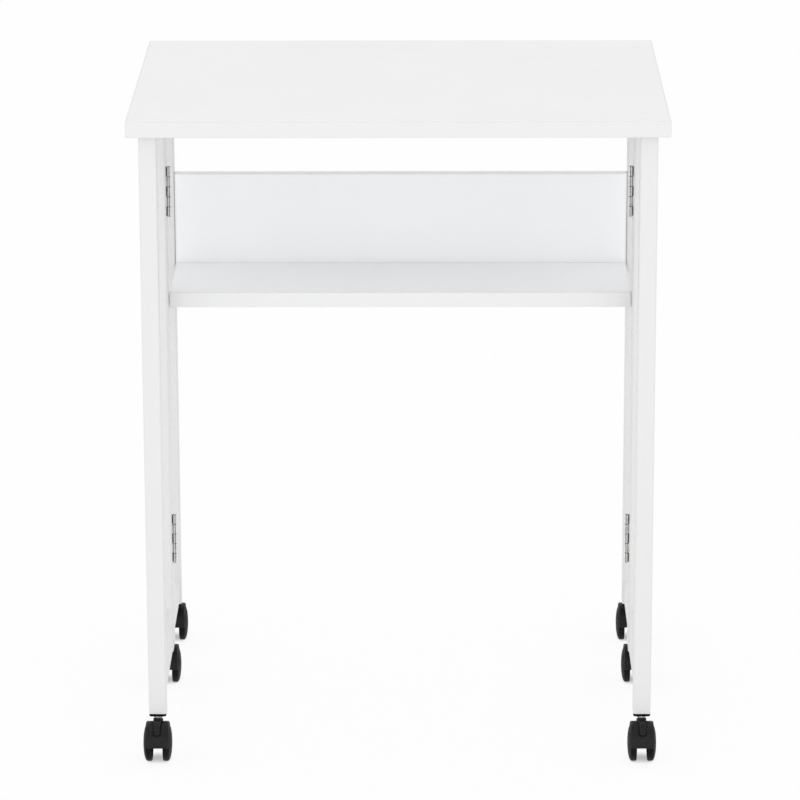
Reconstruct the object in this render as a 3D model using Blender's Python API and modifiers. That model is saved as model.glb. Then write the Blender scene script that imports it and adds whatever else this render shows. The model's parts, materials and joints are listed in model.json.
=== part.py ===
"""Folding desk on casters: one-piece top, two hinged gate frames, a shelf unit and six twin-wheel casters.

The desk stands on the floor at z = 0, its front faces -Y, and its box is centred on the origin.
"""
import math

import bmesh
import bpy
from mathutils import Matrix, Vector

# Desk, in metres
GAP = 0.0003
TOP_WIDTH = 0.600
TOP_DEPTH = 0.450
DESK_HEIGHT = 0.750
BOARD = 0.018
BOARD_EDGE = 0.0010
FRONT_FACE_Y = -0.2055
TOP_OVERHANG_FRONT = 0.017

# Butt hinges: the gates' leaves lie in the gap between a stile and its middle post
HINGE_LENGTH = 0.060
HINGE_CENTRES = {"upper": 0.612, "lower": 0.189}
TOP_HINGE_X = 0.180
KNUCKLES = 5
KNUCKLE_RADIUS = 0.00275
HINGE_PIN_RADIUS = 0.0014
LEAF_WIDTH = 0.016
LEAF_THICK = 0.0012
GATE_LEAF_SEAT = GAP / 2 + LEAF_THICK
TOP_LEAF_SEAT = KNUCKLE_RADIUS
MOUNT_OFFSET = KNUCKLE_RADIUS + GAP

# Tube frames
TUBE = 0.020
TUBE_WALL = 0.0015
TUBE_RADIUS = 0.0022
RAIL_WIDTH = 0.015
RAIL_HEIGHT = 0.030
GATE_RAIL_HEIGHT = 0.050
RAIL_INSET = 0.001
POST_BOTTOM = 0.0535
POST_TOP = DESK_HEIGHT - BOARD - GAP
FRONT_POST_X = 0.277
REAR_POST_X = 0.281
MID_POST_SETBACK = 0.2465
REAR_POST_SETBACK = 0.401
STILE_GAP = 2 * (GATE_LEAF_SEAT + GAP)
FRONT_POST_Y = FRONT_FACE_Y + TUBE / 2
MID_POST_Y = FRONT_FACE_Y + MID_POST_SETBACK
HINGE_Y = MID_POST_Y - (TUBE + STILE_GAP) / 2
STILE_Y = HINGE_Y - (TUBE + STILE_GAP) / 2
REAR_POST_Y = FRONT_FACE_Y + REAR_POST_SETBACK
GATE_HINGE_X = REAR_POST_X - TUBE / 2 - MOUNT_OFFSET
TOP_HINGE_Y = REAR_POST_Y + TUBE / 2 + MOUNT_OFFSET
TOP_HINGE_Z = DESK_HEIGHT - BOARD - MOUNT_OFFSET

# Shelf unit between the rear frames
INNER_WIDTH = 2 * (REAR_POST_X - TUBE / 2 - GAP)
SHELF_TOP = 0.487
SHELF_SETBACK = 0.012
PANEL = 0.012
PANEL_TOP = 0.597
PANEL_FRONT_Y = REAR_POST_Y - TUBE / 2
SHELF_FRONT_Y = MID_POST_Y - TUBE / 2 + SHELF_SETBACK

# Casters, in their own frame: stem on the Z axis, wheels trailing along +Y
TRAIL = 0.015
WHEEL_RADIUS = 0.0215
WHEEL_WIDTH = 0.0102
WHEEL_DOME = ((0.42, 0.00035), (0.70, 0.0012), (0.89, 0.0026))
WHEEL_SIDES = 20
WHEEL_INNER_X = 0.0062
AXLE_RADIUS = 0.0025
AXLE_LENGTH = 0.026
HOOD_RADIUS = 0.0245
HOOD_WALL = 0.0020
HOOD_WIDTH = 0.0266
HOOD_SHOULDER = 0.0016
HOOD_SKIRT = 0.0225
HOOD_SIDES = 28
WEB_WIDTH = 0.0114
AXLE_BOSS_RADIUS = 0.005
BOSS_TOP = 0.0452
BOSS_BOTTOM = 0.018
STEM_RADIUS = 0.0035
STEM_BOTTOM = 0.0225
STEM_TOP = 0.0725
STEM_SIDES = 12
COLLAR_RADIUS = 0.0055
COLLAR = (0.0457, 0.0475)
FLANGE = (0.0503, POST_BOTTOM - GAP)
PLUG_TOP = 0.0715

# Brake pedal on the two front casters
PEDAL_WIDTH = 0.0094
PEDAL_INNER_RADIUS = 0.0249
PEDAL_THICK = 0.0020
PEDAL_ARC = (90.0, 37.0)
NECK_ARC = (98.0, 82.0)
PEDAL_HUB = (0.0115, 0.0477)
PEDAL_HUB_RADIUS = 0.0016
TRUNNION_RADIUS = 0.0010
EAR_INNER_X = 0.0033
EAR = (0.0016, 0.0050, 0.0060)
EAR_BOTTOM = 0.0435

SIDES = {"left": -1, "right": 1}
CASTER_ROWS = {"front": FRONT_POST_Y, "middle": MID_POST_Y, "rear": REAR_POST_Y}

# Finishes: colour, roughness, metallic
FINISHES = {
    "white_laminate": ((0.84, 0.85, 0.86), 0.45, 0.0),
    "white_powder_coat": ((0.82, 0.82, 0.81), 0.40, 0.0),
    "plated_steel": ((0.72, 0.71, 0.69), 0.28, 1.0),
    "black_plastic": ((0.025, 0.025, 0.027), 0.45, 0.0),
    "black_tread": ((0.030, 0.030, 0.032), 0.60, 0.0),
}


def clear_scene():
    """Remove what the new scene holds."""
    for obj in list(bpy.data.objects):
        bpy.data.objects.remove(obj)


def new_collection(name):
    """Make a collection in the scene."""
    collection = bpy.data.collections.new(name)
    bpy.context.scene.collection.children.link(collection)
    return collection


def make_material(name):
    """Make one finish as a Principled material."""
    colour, roughness, metallic = FINISHES[name]
    material = bpy.data.materials.new(name)
    material.use_nodes = True
    shader = material.node_tree.nodes["Principled BSDF"]
    shader.inputs["Base Color"].default_value = (*colour, 1.0)
    shader.inputs["Roughness"].default_value = roughness
    shader.inputs["Metallic"].default_value = metallic
    return material


def shape(bm, name):
    """Put a finished bmesh in the workshop as an object."""
    mesh = bpy.data.meshes.new(name)
    bm.to_mesh(mesh)
    bm.free()
    obj = bpy.data.objects.new(name, mesh)
    obj.hide_render = True
    obj.display_type = "WIRE"
    WORKSHOP.objects.link(obj)
    return obj


def box(size, centre, rounded_axis=None, radius=TUBE_RADIUS):
    """Make a box, with the edges along one axis rounded where an axis is given."""
    bm = bmesh.new()
    place_cube = Matrix.Translation(centre) @ Matrix.Diagonal((*size, 1.0))
    bmesh.ops.create_cube(bm, size=1.0, matrix=place_cube)
    if rounded_axis is not None:
        long_edges = [edge for edge in bm.edges if edge_direction(edge) == rounded_axis]
        bmesh.ops.bevel(bm, geom=long_edges, offset=radius, segments=2, profile=0.5, affect="EDGES")
    return shape(bm, "box")


def edge_direction(edge):
    """Give the axis, 0 to 2, that an edge of a box lies along."""
    span = edge.verts[0].co - edge.verts[1].co
    return max(range(3), key=lambda axis: abs(span[axis]))


def rod(radius, length, centre, axis, sides=12):
    """Make a round bar along one axis, with flats towards the other two axes."""
    turns = {
        0: Matrix.Rotation(math.pi / 2, 4, "Y"),
        1: Matrix.Rotation(math.pi / 2, 4, "X"),
        2: Matrix.Identity(4),
    }
    half_step = Matrix.Rotation(math.pi / sides, 4, "Z")
    bm = bmesh.new()
    bmesh.ops.create_cone(
        bm,
        cap_ends=True,
        segments=sides,
        radius1=radius,
        radius2=radius,
        depth=length,
        matrix=Matrix.Translation(centre) @ turns[axis] @ half_step,
    )
    return shape(bm, "rod")


def board(size, centre):
    """Make a laminated board with eased edges."""
    obj = box(size, centre)
    ease = obj.modifiers.new("eased_edges", "BEVEL")
    ease.width = BOARD_EDGE
    ease.segments = 2
    return finish(obj)


def turned(profile, sides):
    """Turn a profile of (radius, height) points, given from the top down its outer side."""
    bm = bmesh.new()
    verts = [bm.verts.new((radius, 0.0, height)) for radius, height in profile]
    for first, second in zip(verts, verts[1:]):
        bm.edges.new((first, second))
    obj = shape(bm, "turned")
    screw = obj.modifiers.new("turn", "SCREW")
    screw.steps = sides
    screw.render_steps = sides
    screw.use_merge_vertices = True
    screw.merge_threshold = 0.00001
    obj = finish(obj)
    obj.data.transform(Matrix.Rotation(math.pi / sides, 4, "Z"))
    return obj


def arc_plate(radii, angles, centre, width, steps=8):
    """Make a curved strip about an axle along X, as an extruded outline in the YZ plane."""
    inner, outer = radii
    start, end = (math.radians(angle) for angle in angles)
    sweep = [start + (end - start) * step / steps for step in range(steps + 1)]
    outline = [(outer, angle) for angle in sweep] + [(inner, angle) for angle in reversed(sweep)]
    curve = bpy.data.curves.new("strip", "CURVE")
    curve.dimensions = "2D"
    curve.fill_mode = "BOTH"
    curve.extrude = width / 2
    spline = curve.splines.new("POLY")
    spline.points.add(len(outline) - 1)
    for point, (radius, angle) in zip(spline.points, outline):
        point.co = (radius * math.cos(angle), radius * math.sin(angle), 0.0, 1.0)
    spline.use_cyclic_u = True
    obj = bpy.data.objects.new("strip", curve)
    WORKSHOP.objects.link(obj)
    obj = finish(obj)
    to_side = Matrix(((0, 0, 1), (1, 0, 0), (0, 1, 0))).to_4x4()
    obj.data.transform(Matrix.Translation(centre) @ to_side)
    return obj


def finish(obj):
    """Turn an object with modifiers, or a curve, into a plain welded mesh object."""
    depsgraph = bpy.context.evaluated_depsgraph_get()
    mesh = bpy.data.meshes.new_from_object(obj.evaluated_get(depsgraph))
    bpy.data.objects.remove(obj)
    bm = bmesh.new()
    bm.from_mesh(mesh)
    bmesh.ops.remove_doubles(bm, verts=bm.verts, dist=0.000001)
    bmesh.ops.recalc_face_normals(bm, faces=bm.faces)
    return shape(bm, "finished")


def combine(base, joined=(), cut=()):
    """Weld shapes to a base, cut others out of it, and use them up."""
    for operation, tools in (("UNION", joined), ("DIFFERENCE", cut)):
        for tool in tools:
            modifier = base.modifiers.new(operation.lower(), "BOOLEAN")
            modifier.operation = operation
            modifier.solver = "EXACT"
            modifier.object = tool
    result = finish(base)
    for tool in (*joined, *cut):
        bpy.data.objects.remove(tool)
    return result


def pivot(name, location, turn=0.0, parent=None):
    """Make an empty on a joint's axis."""
    empty = bpy.data.objects.new(name, None)
    empty.empty_display_size = 0.02
    empty.location = location
    empty.rotation_euler = (0.0, 0.0, turn)
    empty.parent = parent
    DESK.objects.link(empty)
    bpy.context.view_layer.update()
    return empty


def place(name, source, material, matrix=None, parent=None, smooth=False):
    """Place one named part with its own mesh name and finish, in its parent's frame."""
    obj = bpy.data.objects.new(name, source.data)
    if matrix is not None:
        obj.matrix_local = matrix
    obj.parent = parent
    DESK.objects.link(obj)
    if not source.data.materials:
        source.data.materials.append(MATERIALS[material])
    if smooth:
        source.data.shade_smooth()
        source.data.set_sharp_from_angle(angle=math.radians(35))
    return obj


def place_world(name, source, material, parent):
    """Place a part that was modelled in world coordinates under a pivot."""
    source.data.transform(parent.matrix_world.inverted())
    return place(name, source, material, parent=parent)


def axes_matrix(x_to, y_to, z_to, location):
    """Give the matrix that sends the local axes to three directions."""
    matrix = Matrix((x_to, y_to, z_to)).transposed().to_4x4()
    matrix.translation = Vector(location)
    return matrix


def tube_frame(posts, rails):
    """Weld two hollow posts and the hollow rails between them.

    posts are (x, y) axes; rails are (bottom, height).
    """
    (x_a, y_a), (x_b, y_b) = posts
    height = POST_TOP - POST_BOTTOM
    middle = (POST_TOP + POST_BOTTOM) / 2
    bore = TUBE - 2 * TUBE_WALL
    tubes = [box((TUBE, TUBE, height), (x, y, middle), rounded_axis=2) for x, y in posts]
    bores = [box((bore, bore, height + TUBE), (x, y, middle)) for x, y in posts]
    x_rail = (x_a + x_b) / 2
    y_rail = (y_a + y_b) / 2
    axis_span = abs(y_b - y_a)
    rail_length = axis_span - TUBE + 2 * (TUBE_WALL - GAP)
    for bottom, rail_height in rails:
        centre = (x_rail, y_rail, bottom + rail_height / 2)
        tubes.append(box((RAIL_WIDTH, rail_length, rail_height), centre, rounded_axis=1))
        hollow = (RAIL_WIDTH - 2 * TUBE_WALL, axis_span, rail_height - 2 * TUBE_WALL)
        bores.append(box(hollow, centre))
    return combine(tubes[0], tubes[1:], bores)


def hinge_leaf(seat, direction, knuckles, holds_pin):
    """Make one butt-hinge leaf: knuckle axis on Z, screwed face at x = seat, plate towards +Y or -Y."""
    pitch = HINGE_LENGTH / KNUCKLES
    length = pitch - GAP
    plate_x = seat - LEAF_THICK / 2
    clear = KNUCKLE_RADIUS + 2 * GAP
    plate_centre = (plate_x, direction * (LEAF_WIDTH + clear) / 2, 0.0)
    plate = box((LEAF_THICK, LEAF_WIDTH - clear, HINGE_LENGTH), plate_centre)
    joined = []
    for index in knuckles:
        z = (index - (KNUCKLES - 1) / 2) * pitch
        tab_width = clear + LEAF_THICK
        joined.append(rod(KNUCKLE_RADIUS, length, (0.0, 0.0, z), 2, sides=10))
        tab_size = (LEAF_THICK - GAP / 3, tab_width, length - GAP)
        joined.append(box(tab_size, (plate_x, direction * tab_width / 2, z)))
    if holds_pin:
        joined.append(rod(HINGE_PIN_RADIUS, HINGE_LENGTH + LEAF_THICK, (0.0, 0.0, 0.0), 2, sides=8))
        return combine(plate, joined)
    bore = rod(HINGE_PIN_RADIUS + GAP, HINGE_LENGTH, (0.0, 0.0, 0.0), 2, sides=8)
    return combine(plate, joined, [bore])


def leaf_pair(seat):
    """Make a hinge's two leaves: three knuckles and the pin on one, two knuckles on the other."""
    pin_leaf = hinge_leaf(seat, 1, (0, 2, 4), holds_pin=True)
    bore_leaf = hinge_leaf(seat, -1, (1, 3), holds_pin=False)
    return pin_leaf, bore_leaf


def caster_wheel():
    """Make a wheel on its own Z axis: inner side at 0, domed cheek at the top, blind axle hole below.

    The dome is given as shares of the radius with the drop below the crown.
    """
    tread = WHEEL_RADIUS / math.cos(math.pi / WHEEL_SIDES)
    shoulder = 0.0014
    hole = AXLE_RADIUS + GAP
    hole_top = 0.0072
    profile = [
        (0.0, WHEEL_WIDTH),
        *((share * tread, WHEEL_WIDTH - drop) for share, drop in WHEEL_DOME),
        (tread, WHEEL_WIDTH / 2),
        (tread, shoulder),
        (tread - shoulder, 0.0),
        (hole, 0.0),
        (hole, hole_top),
        (0.0, hole_top),
    ]
    return turned(profile, WHEEL_SIDES)


def caster_stem():
    """Make the steel stem with its collar."""
    low, high = COLLAR
    tip = 0.001
    profile = [
        (0.0, STEM_TOP),
        (STEM_RADIUS - tip, STEM_TOP),
        (STEM_RADIUS, STEM_TOP - tip),
        (STEM_RADIUS, high),
        (COLLAR_RADIUS, high),
        (COLLAR_RADIUS, low),
        (STEM_RADIUS, low),
        (STEM_RADIUS, STEM_BOTTOM),
        (0.0, STEM_BOTTOM),
    ]
    return turned(profile, STEM_SIDES)


def caster_insert():
    """Make the plug that closes a post and holds the stem."""
    low, high = FLANGE
    side = TUBE - 2 * TUBE_WALL - 2 * GAP
    flange = box((TUBE, TUBE, high - low), (0.0, 0.0, (low + high) / 2), rounded_axis=2)
    plug = box((side, side, PLUG_TOP - low), (0.0, 0.0, (low + PLUG_TOP) / 2 + GAP), rounded_axis=2)
    bore = rod(STEM_RADIUS + GAP, PLUG_TOP, (0.0, 0.0, PLUG_TOP), 2)
    return combine(flange, [plug], [bore])


def hood_drum(axle):
    """Make the drum that the hood is cut from, with rounded shoulders, its axis along X."""
    half = HOOD_WIDTH / 2
    shoulder = HOOD_SHOULDER
    eased = shoulder * (1 - math.sqrt(0.5))
    edge = [
        (HOOD_RADIUS - shoulder, half),
        (HOOD_RADIUS - eased, half - eased),
        (HOOD_RADIUS, half - shoulder),
    ]
    other_edge = [(radius, -height) for radius, height in reversed(edge)]
    drum = turned([(0.0, half), *edge, *other_edge, (0.0, -half)], HOOD_SIDES)
    drum.data.transform(Matrix.Translation(axle) @ Matrix.Rotation(math.pi / 2, 4, "Y"))
    return drum


def caster_hood(braked):
    """Make the hood: a half drum over the wheels, a web between them and a boss for the stem."""
    axle = (0.0, TRAIL, WHEEL_RADIUS)
    wide = 2 * HOOD_WIDTH
    hollow = rod(HOOD_RADIUS - HOOD_WALL, wide, axle, 0, sides=HOOD_SIDES)
    web = rod(HOOD_RADIUS - HOOD_WALL / 2, WEB_WIDTH, axle, 0, sides=HOOD_SIDES)
    below_skirt = box((wide, wide, wide), (0.0, TRAIL, HOOD_SKIRT - wide / 2))
    shell = combine(combine(hood_drum(axle), cut=[hollow]), [web], [below_skirt])
    axle_boss = rod(AXLE_BOSS_RADIUS, WEB_WIDTH - GAP, axle, 0)
    boss_length = BOSS_TOP - BOSS_BOTTOM
    boss = rod(WEB_WIDTH / 2, boss_length, (0.0, 0.0, BOSS_BOTTOM + boss_length / 2), 2, sides=14)
    stem_hole = rod(STEM_RADIUS + GAP, BOSS_TOP, (0.0, 0.0, STEM_BOTTOM - GAP + BOSS_TOP / 2), 2)
    axle_hole = rod(AXLE_RADIUS + GAP, HOOD_WIDTH, axle, 0)
    joined = [axle_boss, boss]
    cut = [stem_hole, axle_hole]
    if braked:
        hub_y, hub_z = PEDAL_HUB
        width, depth, height = EAR
        for side in SIDES.values():
            ear_x = side * (EAR_INNER_X + width / 2)
            joined.append(box((width, depth, height), (ear_x, hub_y, EAR_BOTTOM + height / 2)))
        cut.append(rod(TRUNNION_RADIUS + GAP, HOOD_WIDTH, (0.0, hub_y, hub_z), 0, sides=8))
    return combine(shell, joined, cut)


def brake_pedal():
    """Make the pedal, its neck, hub and trunnions, moved so that its hinge axis is the X axis."""
    hub_y, hub_z = PEDAL_HUB
    axle = (0.0, TRAIL, WHEEL_RADIUS)
    middle = PEDAL_INNER_RADIUS + PEDAL_THICK / 2
    hub_length = 2 * (EAR_INNER_X - GAP)
    tongue = arc_plate((middle - PEDAL_THICK / 2, middle + PEDAL_THICK / 2), PEDAL_ARC, axle, PEDAL_WIDTH)
    neck_half = (PEDAL_THICK - GAP) / 2
    neck = arc_plate((middle - neck_half, middle + neck_half), NECK_ARC, axle, hub_length - GAP, steps=3)
    hub = rod(PEDAL_HUB_RADIUS, hub_length, (0.0, hub_y, hub_z), 0)
    trunnion_length = 2 * (EAR_INNER_X + EAR[0] - GAP)
    trunnions = rod(TRUNNION_RADIUS, trunnion_length, (0.0, hub_y, hub_z), 0, sides=8)
    pedal = combine(tongue, [neck, hub, trunnions])
    pedal.data.transform(Matrix.Translation((0.0, -hub_y, -hub_z)))
    return pedal


def add_boards():
    """Place the shelf and the back panel."""
    shelf_depth = PANEL_FRONT_Y - GAP - SHELF_FRONT_Y
    shelf_centre = (0.0, SHELF_FRONT_Y + shelf_depth / 2, SHELF_TOP - BOARD / 2)
    place("shelf", board((INNER_WIDTH, shelf_depth, BOARD), shelf_centre), "white_laminate")
    panel_bottom = SHELF_TOP - BOARD
    panel_centre = (0.0, PANEL_FRONT_Y + PANEL / 2, (PANEL_TOP + panel_bottom) / 2)
    panel_size = (INNER_WIDTH, PANEL, PANEL_TOP - panel_bottom)
    place("back_panel", board(panel_size, panel_centre), "white_laminate")


def add_tabletop():
    """Place the top on its pivot at the back of the rear posts."""
    axis = pivot("tabletop_pivot", (0.0, TOP_HINGE_Y, TOP_HINGE_Z))
    centre_y = FRONT_FACE_Y - TOP_OVERHANG_FRONT + TOP_DEPTH / 2
    top = board((TOP_WIDTH, TOP_DEPTH, BOARD), (0.0, centre_y, DESK_HEIGHT - BOARD / 2))
    place_world("tabletop", top, "white_laminate", axis)
    return axis


def add_frames():
    """Place the rear frames, the rail that ties them, and the gates on their pivots."""
    top_rail = (POST_TOP - RAIL_INSET - RAIL_HEIGHT, RAIL_HEIGHT)
    rear_rails = [(POST_BOTTOM + RAIL_INSET, RAIL_HEIGHT), top_rail]
    gate_rails = [(POST_BOTTOM + RAIL_INSET, GATE_RAIL_HEIGHT), top_rail]
    gates = {}
    for side, sign in SIDES.items():
        rear_x = sign * REAR_POST_X
        rear = tube_frame([(rear_x, MID_POST_Y), (rear_x, REAR_POST_Y)], rear_rails)
        place(f"{side}_rear_frame", rear, "white_powder_coat")
        gates[side] = pivot(f"{side}_gate_pivot", (sign * GATE_HINGE_X, HINGE_Y, 0.0))
        gate = tube_frame([(sign * FRONT_POST_X, FRONT_POST_Y), (rear_x, STILE_Y)], gate_rails)
        place_world(f"{side}_gate_frame", gate, "white_powder_coat", gates[side])
    centre = (0.0, REAR_POST_Y, top_rail[0] + RAIL_HEIGHT / 2)
    tie = box((INNER_WIDTH, TUBE, RAIL_HEIGHT), centre, rounded_axis=0)
    bore = box((TOP_WIDTH, TUBE - 2 * TUBE_WALL, RAIL_HEIGHT - 2 * TUBE_WALL), centre)
    place("rear_top_rail", combine(tie, cut=[bore]), "white_powder_coat")
    return gates


def add_gate_hinges(gates, pin_leaf, bore_leaf):
    """Place two hinges on each gate: the pin leaf on the rear frame, the other on the gate."""
    for side, sign in SIDES.items():
        for level, z in HINGE_CENTRES.items():
            axis_point = (sign * GATE_HINGE_X, HINGE_Y, z)
            on_post = axes_matrix((0, 1, 0), (sign, 0, 0), (0, 0, -sign), axis_point)
            on_gate = axes_matrix((0, -1, 0), (-sign, 0, 0), (0, 0, -sign), (0.0, 0.0, z))
            name = f"{side}_{level}_hinge"
            place(f"{name}_frame_leaf", pin_leaf, "plated_steel", on_post)
            place(f"{name}_gate_leaf", bore_leaf, "plated_steel", on_gate, gates[side])


def add_top_hinges(axis, pin_leaf, bore_leaf):
    """Place the two hinges between the rear rail and the underside of the top."""
    for side, sign in SIDES.items():
        x = sign * TOP_HINGE_X
        on_rail = axes_matrix((0, -1, 0), (0, 0, -1), (1, 0, 0), (x, TOP_HINGE_Y, TOP_HINGE_Z))
        under_top = axes_matrix((0, 0, 1), (0, -1, 0), (1, 0, 0), (x, 0.0, 0.0))
        place(f"{side}_top_hinge_rail_leaf", pin_leaf, "plated_steel", on_rail)
        place(f"{side}_top_hinge_top_leaf", bore_leaf, "plated_steel", under_top, axis)


def add_casters(gates):
    """Place a caster under every post; the front two ride on the gates and carry brakes."""
    wheel = caster_wheel()
    stem = caster_stem()
    insert = caster_insert()
    axle = rod(AXLE_RADIUS, AXLE_LENGTH, (0.0, TRAIL, WHEEL_RADIUS), 0)
    hoods = {"front": caster_hood(braked=True), "plain": caster_hood(braked=False)}
    pedal = brake_pedal()
    for side, sign in SIDES.items():
        for row, y in CASTER_ROWS.items():
            front = row == "front"
            parent = gates[side] if front else None
            x = sign * (FRONT_POST_X if front else REAR_POST_X)
            foot = Vector((x, y, 0.0))
            local_foot = foot - parent.location if front else foot
            name = f"{side}_{row}_caster"
            place(f"{name}_insert", insert, "black_plastic", Matrix.Translation(local_foot), parent)
            swivel = pivot(f"{name}_swivel", local_foot, math.pi if front else 0.0, parent)
            place(f"{name}_stem", stem, "plated_steel", parent=swivel, smooth=True)
            hood = hoods["front" if front else "plain"]
            place(f"{name}_hood", hood, "black_plastic", parent=swivel, smooth=True)
            place(f"{name}_axle", axle, "plated_steel", parent=swivel, smooth=True)
            add_wheels(name, wheel, swivel, -1 if front else 1)
            if front:
                hinge = Matrix.Translation((0.0, *PEDAL_HUB))
                place(f"{name}_brake_pedal", pedal, "black_plastic", hinge, swivel, smooth=True)


def add_wheels(name, wheel, swivel, facing):
    """Place the two wheels of one caster, cheeks outwards; facing is -1 on a caster turned to the front."""
    for label, sign in SIDES.items():
        side = sign * facing
        hub = Matrix.Translation((side * WHEEL_INNER_X, TRAIL, WHEEL_RADIUS))
        face = Matrix.Rotation(side * math.pi / 2, 4, "Y")
        place(f"{name}_{label}_wheel", wheel, "black_tread", hub @ face, swivel, smooth=True)


clear_scene()
DESK = new_collection("folding_desk")
WORKSHOP = new_collection("cutters")
MATERIALS = {finish_name: make_material(finish_name) for finish_name in FINISHES}
add_boards()
TOP_AXIS = add_tabletop()
GATES = add_frames()
add_gate_hinges(GATES, *leaf_pair(GATE_LEAF_SEAT))
add_top_hinges(TOP_AXIS, *leaf_pair(TOP_LEAF_SEAT))
add_casters(GATES)
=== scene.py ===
"""Studio scene of a white folding desk on six casters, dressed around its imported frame.

Boards, tube frames, butt hinges, casters and fasteners are built as fine meshes, in metres and in the frame's
own axes: +Z is up and -Y faces the person at the desk. Every piece rides on the body that it belongs to.
"""
import json
import logging
import math
from dataclasses import dataclass
from enum import Enum
from typing import Iterable, Sequence

import bmesh
import bpy
from mathutils import Matrix, Vector


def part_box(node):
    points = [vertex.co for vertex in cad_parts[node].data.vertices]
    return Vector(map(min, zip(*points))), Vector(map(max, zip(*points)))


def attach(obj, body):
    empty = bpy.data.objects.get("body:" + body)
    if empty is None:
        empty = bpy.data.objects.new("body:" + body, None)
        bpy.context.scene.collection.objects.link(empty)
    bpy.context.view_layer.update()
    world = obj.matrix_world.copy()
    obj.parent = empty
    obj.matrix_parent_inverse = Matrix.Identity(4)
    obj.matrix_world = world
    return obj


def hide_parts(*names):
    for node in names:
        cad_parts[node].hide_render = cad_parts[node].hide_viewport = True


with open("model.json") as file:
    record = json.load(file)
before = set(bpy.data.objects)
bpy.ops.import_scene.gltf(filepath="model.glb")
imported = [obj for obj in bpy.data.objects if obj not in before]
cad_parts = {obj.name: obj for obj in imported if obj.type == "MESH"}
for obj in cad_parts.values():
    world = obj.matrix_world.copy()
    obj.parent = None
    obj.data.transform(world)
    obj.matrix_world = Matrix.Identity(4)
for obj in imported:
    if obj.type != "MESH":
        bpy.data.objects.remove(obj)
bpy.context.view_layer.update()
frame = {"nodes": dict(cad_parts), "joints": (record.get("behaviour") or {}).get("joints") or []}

LOG = logging.getLogger("folding_desk")
EDGE = "edge"
MIX_FIRST, MIX_SECOND, MIX_RESULT = 6, 7, 2

Colour = tuple[float, float, float]
Point = tuple[float, float]
Triple = tuple[float, float, float]
Solid = bmesh.types.BMesh
Socket = bpy.types.NodeSocket


class Slot(Enum):
    """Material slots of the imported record."""

    LAMINATE = "white_laminate"
    POWDER_COAT = "white_powder_coat"
    STEEL = "plated_steel"
    PLASTIC = "black_plastic"
    TREAD = "black_tread"


class Side(Enum):
    """The desk's two sides, with the sign of X on each."""

    LEFT = -1
    RIGHT = 1

    @property
    def word(self) -> str:
        """Give the side as it stands in the names of pieces."""
        return self.name.lower()


class Row(Enum):
    """The three rows of casters, from the front to the back."""

    FRONT = "front"
    MIDDLE = "middle"
    REAR = "rear"


class Axis(Enum):
    """The axis that a bar or a tube lies along, as the turn that brings it there from Z."""

    X = "Y"
    Y = "X"
    Z = "Z"

    @property
    def turn(self) -> Matrix:
        """Give the rotation that lays the Z axis along this one."""
        return Matrix.Identity(4) if self is Axis.Z else Matrix.Rotation(math.pi / 2, 4, self.value)


# Places in the frame


def joint_spot(name: str) -> Vector:
    """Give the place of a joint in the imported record."""
    return next(Vector(joint["pos_m"]) for joint in frame["joints"] if joint["name"] == name)


def middle_of(node: str) -> Vector:
    """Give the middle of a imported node's box."""
    low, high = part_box(node)
    return (low + high) / 2


def turned_to(x_to: Triple, y_to: Triple) -> Matrix:
    """Give the rotation that sends the X and Y axes to two directions."""
    across = Vector(x_to).cross(Vector(y_to))
    return Matrix((x_to, y_to, across)).transposed().to_4x4()


# Shapes


def rounded_rectangle(size: Point, radius: float, steps: int = 4, side_steps: int = 1) -> list[Point]:
    """Outline a rectangle with round corners, anticlockwise and centred on the origin.

    Args:
        size: Width and depth.
        radius: Corner radius.
        steps: Segments in each corner.
        side_steps: Segments in each straight side.

    Returns:
        The outline's points.
    """
    width, depth = size
    corners: list[list[Point]] = []
    for quarter, (sign_x, sign_y) in enumerate(((1, 1), (-1, 1), (-1, -1), (1, -1))):
        centre_x = sign_x * (width / 2 - radius)
        centre_y = sign_y * (depth / 2 - radius)
        angles = [(quarter + step / steps) * math.pi / 2 for step in range(steps + 1)]
        corners.append([(centre_x + radius * math.cos(a), centre_y + radius * math.sin(a)) for a in angles])
    points: list[Point] = []
    for corner, following in zip(corners, corners[1:] + corners[:1]):
        points += corner
        start, end = Vector(corner[-1]), Vector(following[0])
        points += [tuple(start.lerp(end, step / side_steps)) for step in range(1, side_steps)]
    return points


def ring_at(outline: Iterable[Point], height: float) -> list[Vector]:
    """Lay an outline flat at one height."""
    return [Vector((x, y, height)) for x, y in outline]


def stacked(rows: Iterable[tuple[Point, float, float]], steps: int = 4) -> list[list[Vector]]:
    """Stack rounded rectangles, each given by its size, its corner radius and its height."""
    return [ring_at(rounded_rectangle(size, radius, steps), height) for size, radius, height in rows]


def loft(
    rings: Sequence[Sequence[Vector]],
    hollow: bool = False,
    strip_ends: bool = False,
    wear: Sequence[float] | None = None,
) -> Solid:
    """Skin a row of rings that have equal counts of points.

    Args:
        rings: The rings, in order.
        hollow: True to join the last ring to the first, as in a tube with walls.
        strip_ends: True to fill the ends across a thin section instead of with one face.
        wear: How exposed each ring is to wear, from 0 to 1.

    Returns:
        A closed solid.
    """
    solid = bmesh.new()
    layer = solid.verts.layers.float.new(EDGE)
    loops = [[solid.verts.new(point) for point in ring] for ring in rings]
    for loop, amount in zip(loops, wear or ()):
        for vert in loop:
            vert[layer] = amount
    count = len(loops[0])
    pairs = list(zip(loops, loops[1:]))
    if hollow:
        pairs.append((loops[-1], loops[0]))
    for low, high in pairs:
        for index in range(count):
            following = (index + 1) % count
            solid.faces.new((low[index], low[following], high[following], high[index]))
    if not hollow:
        for loop in (loops[0], loops[-1]):
            if strip_ends:
                for index in range(count // 2 - 1):
                    solid.faces.new((loop[index], loop[index + 1], loop[-2 - index], loop[-1 - index]))
            else:
                solid.faces.new(loop)
    bmesh.ops.recalc_face_normals(solid, faces=solid.faces)
    return solid


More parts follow.
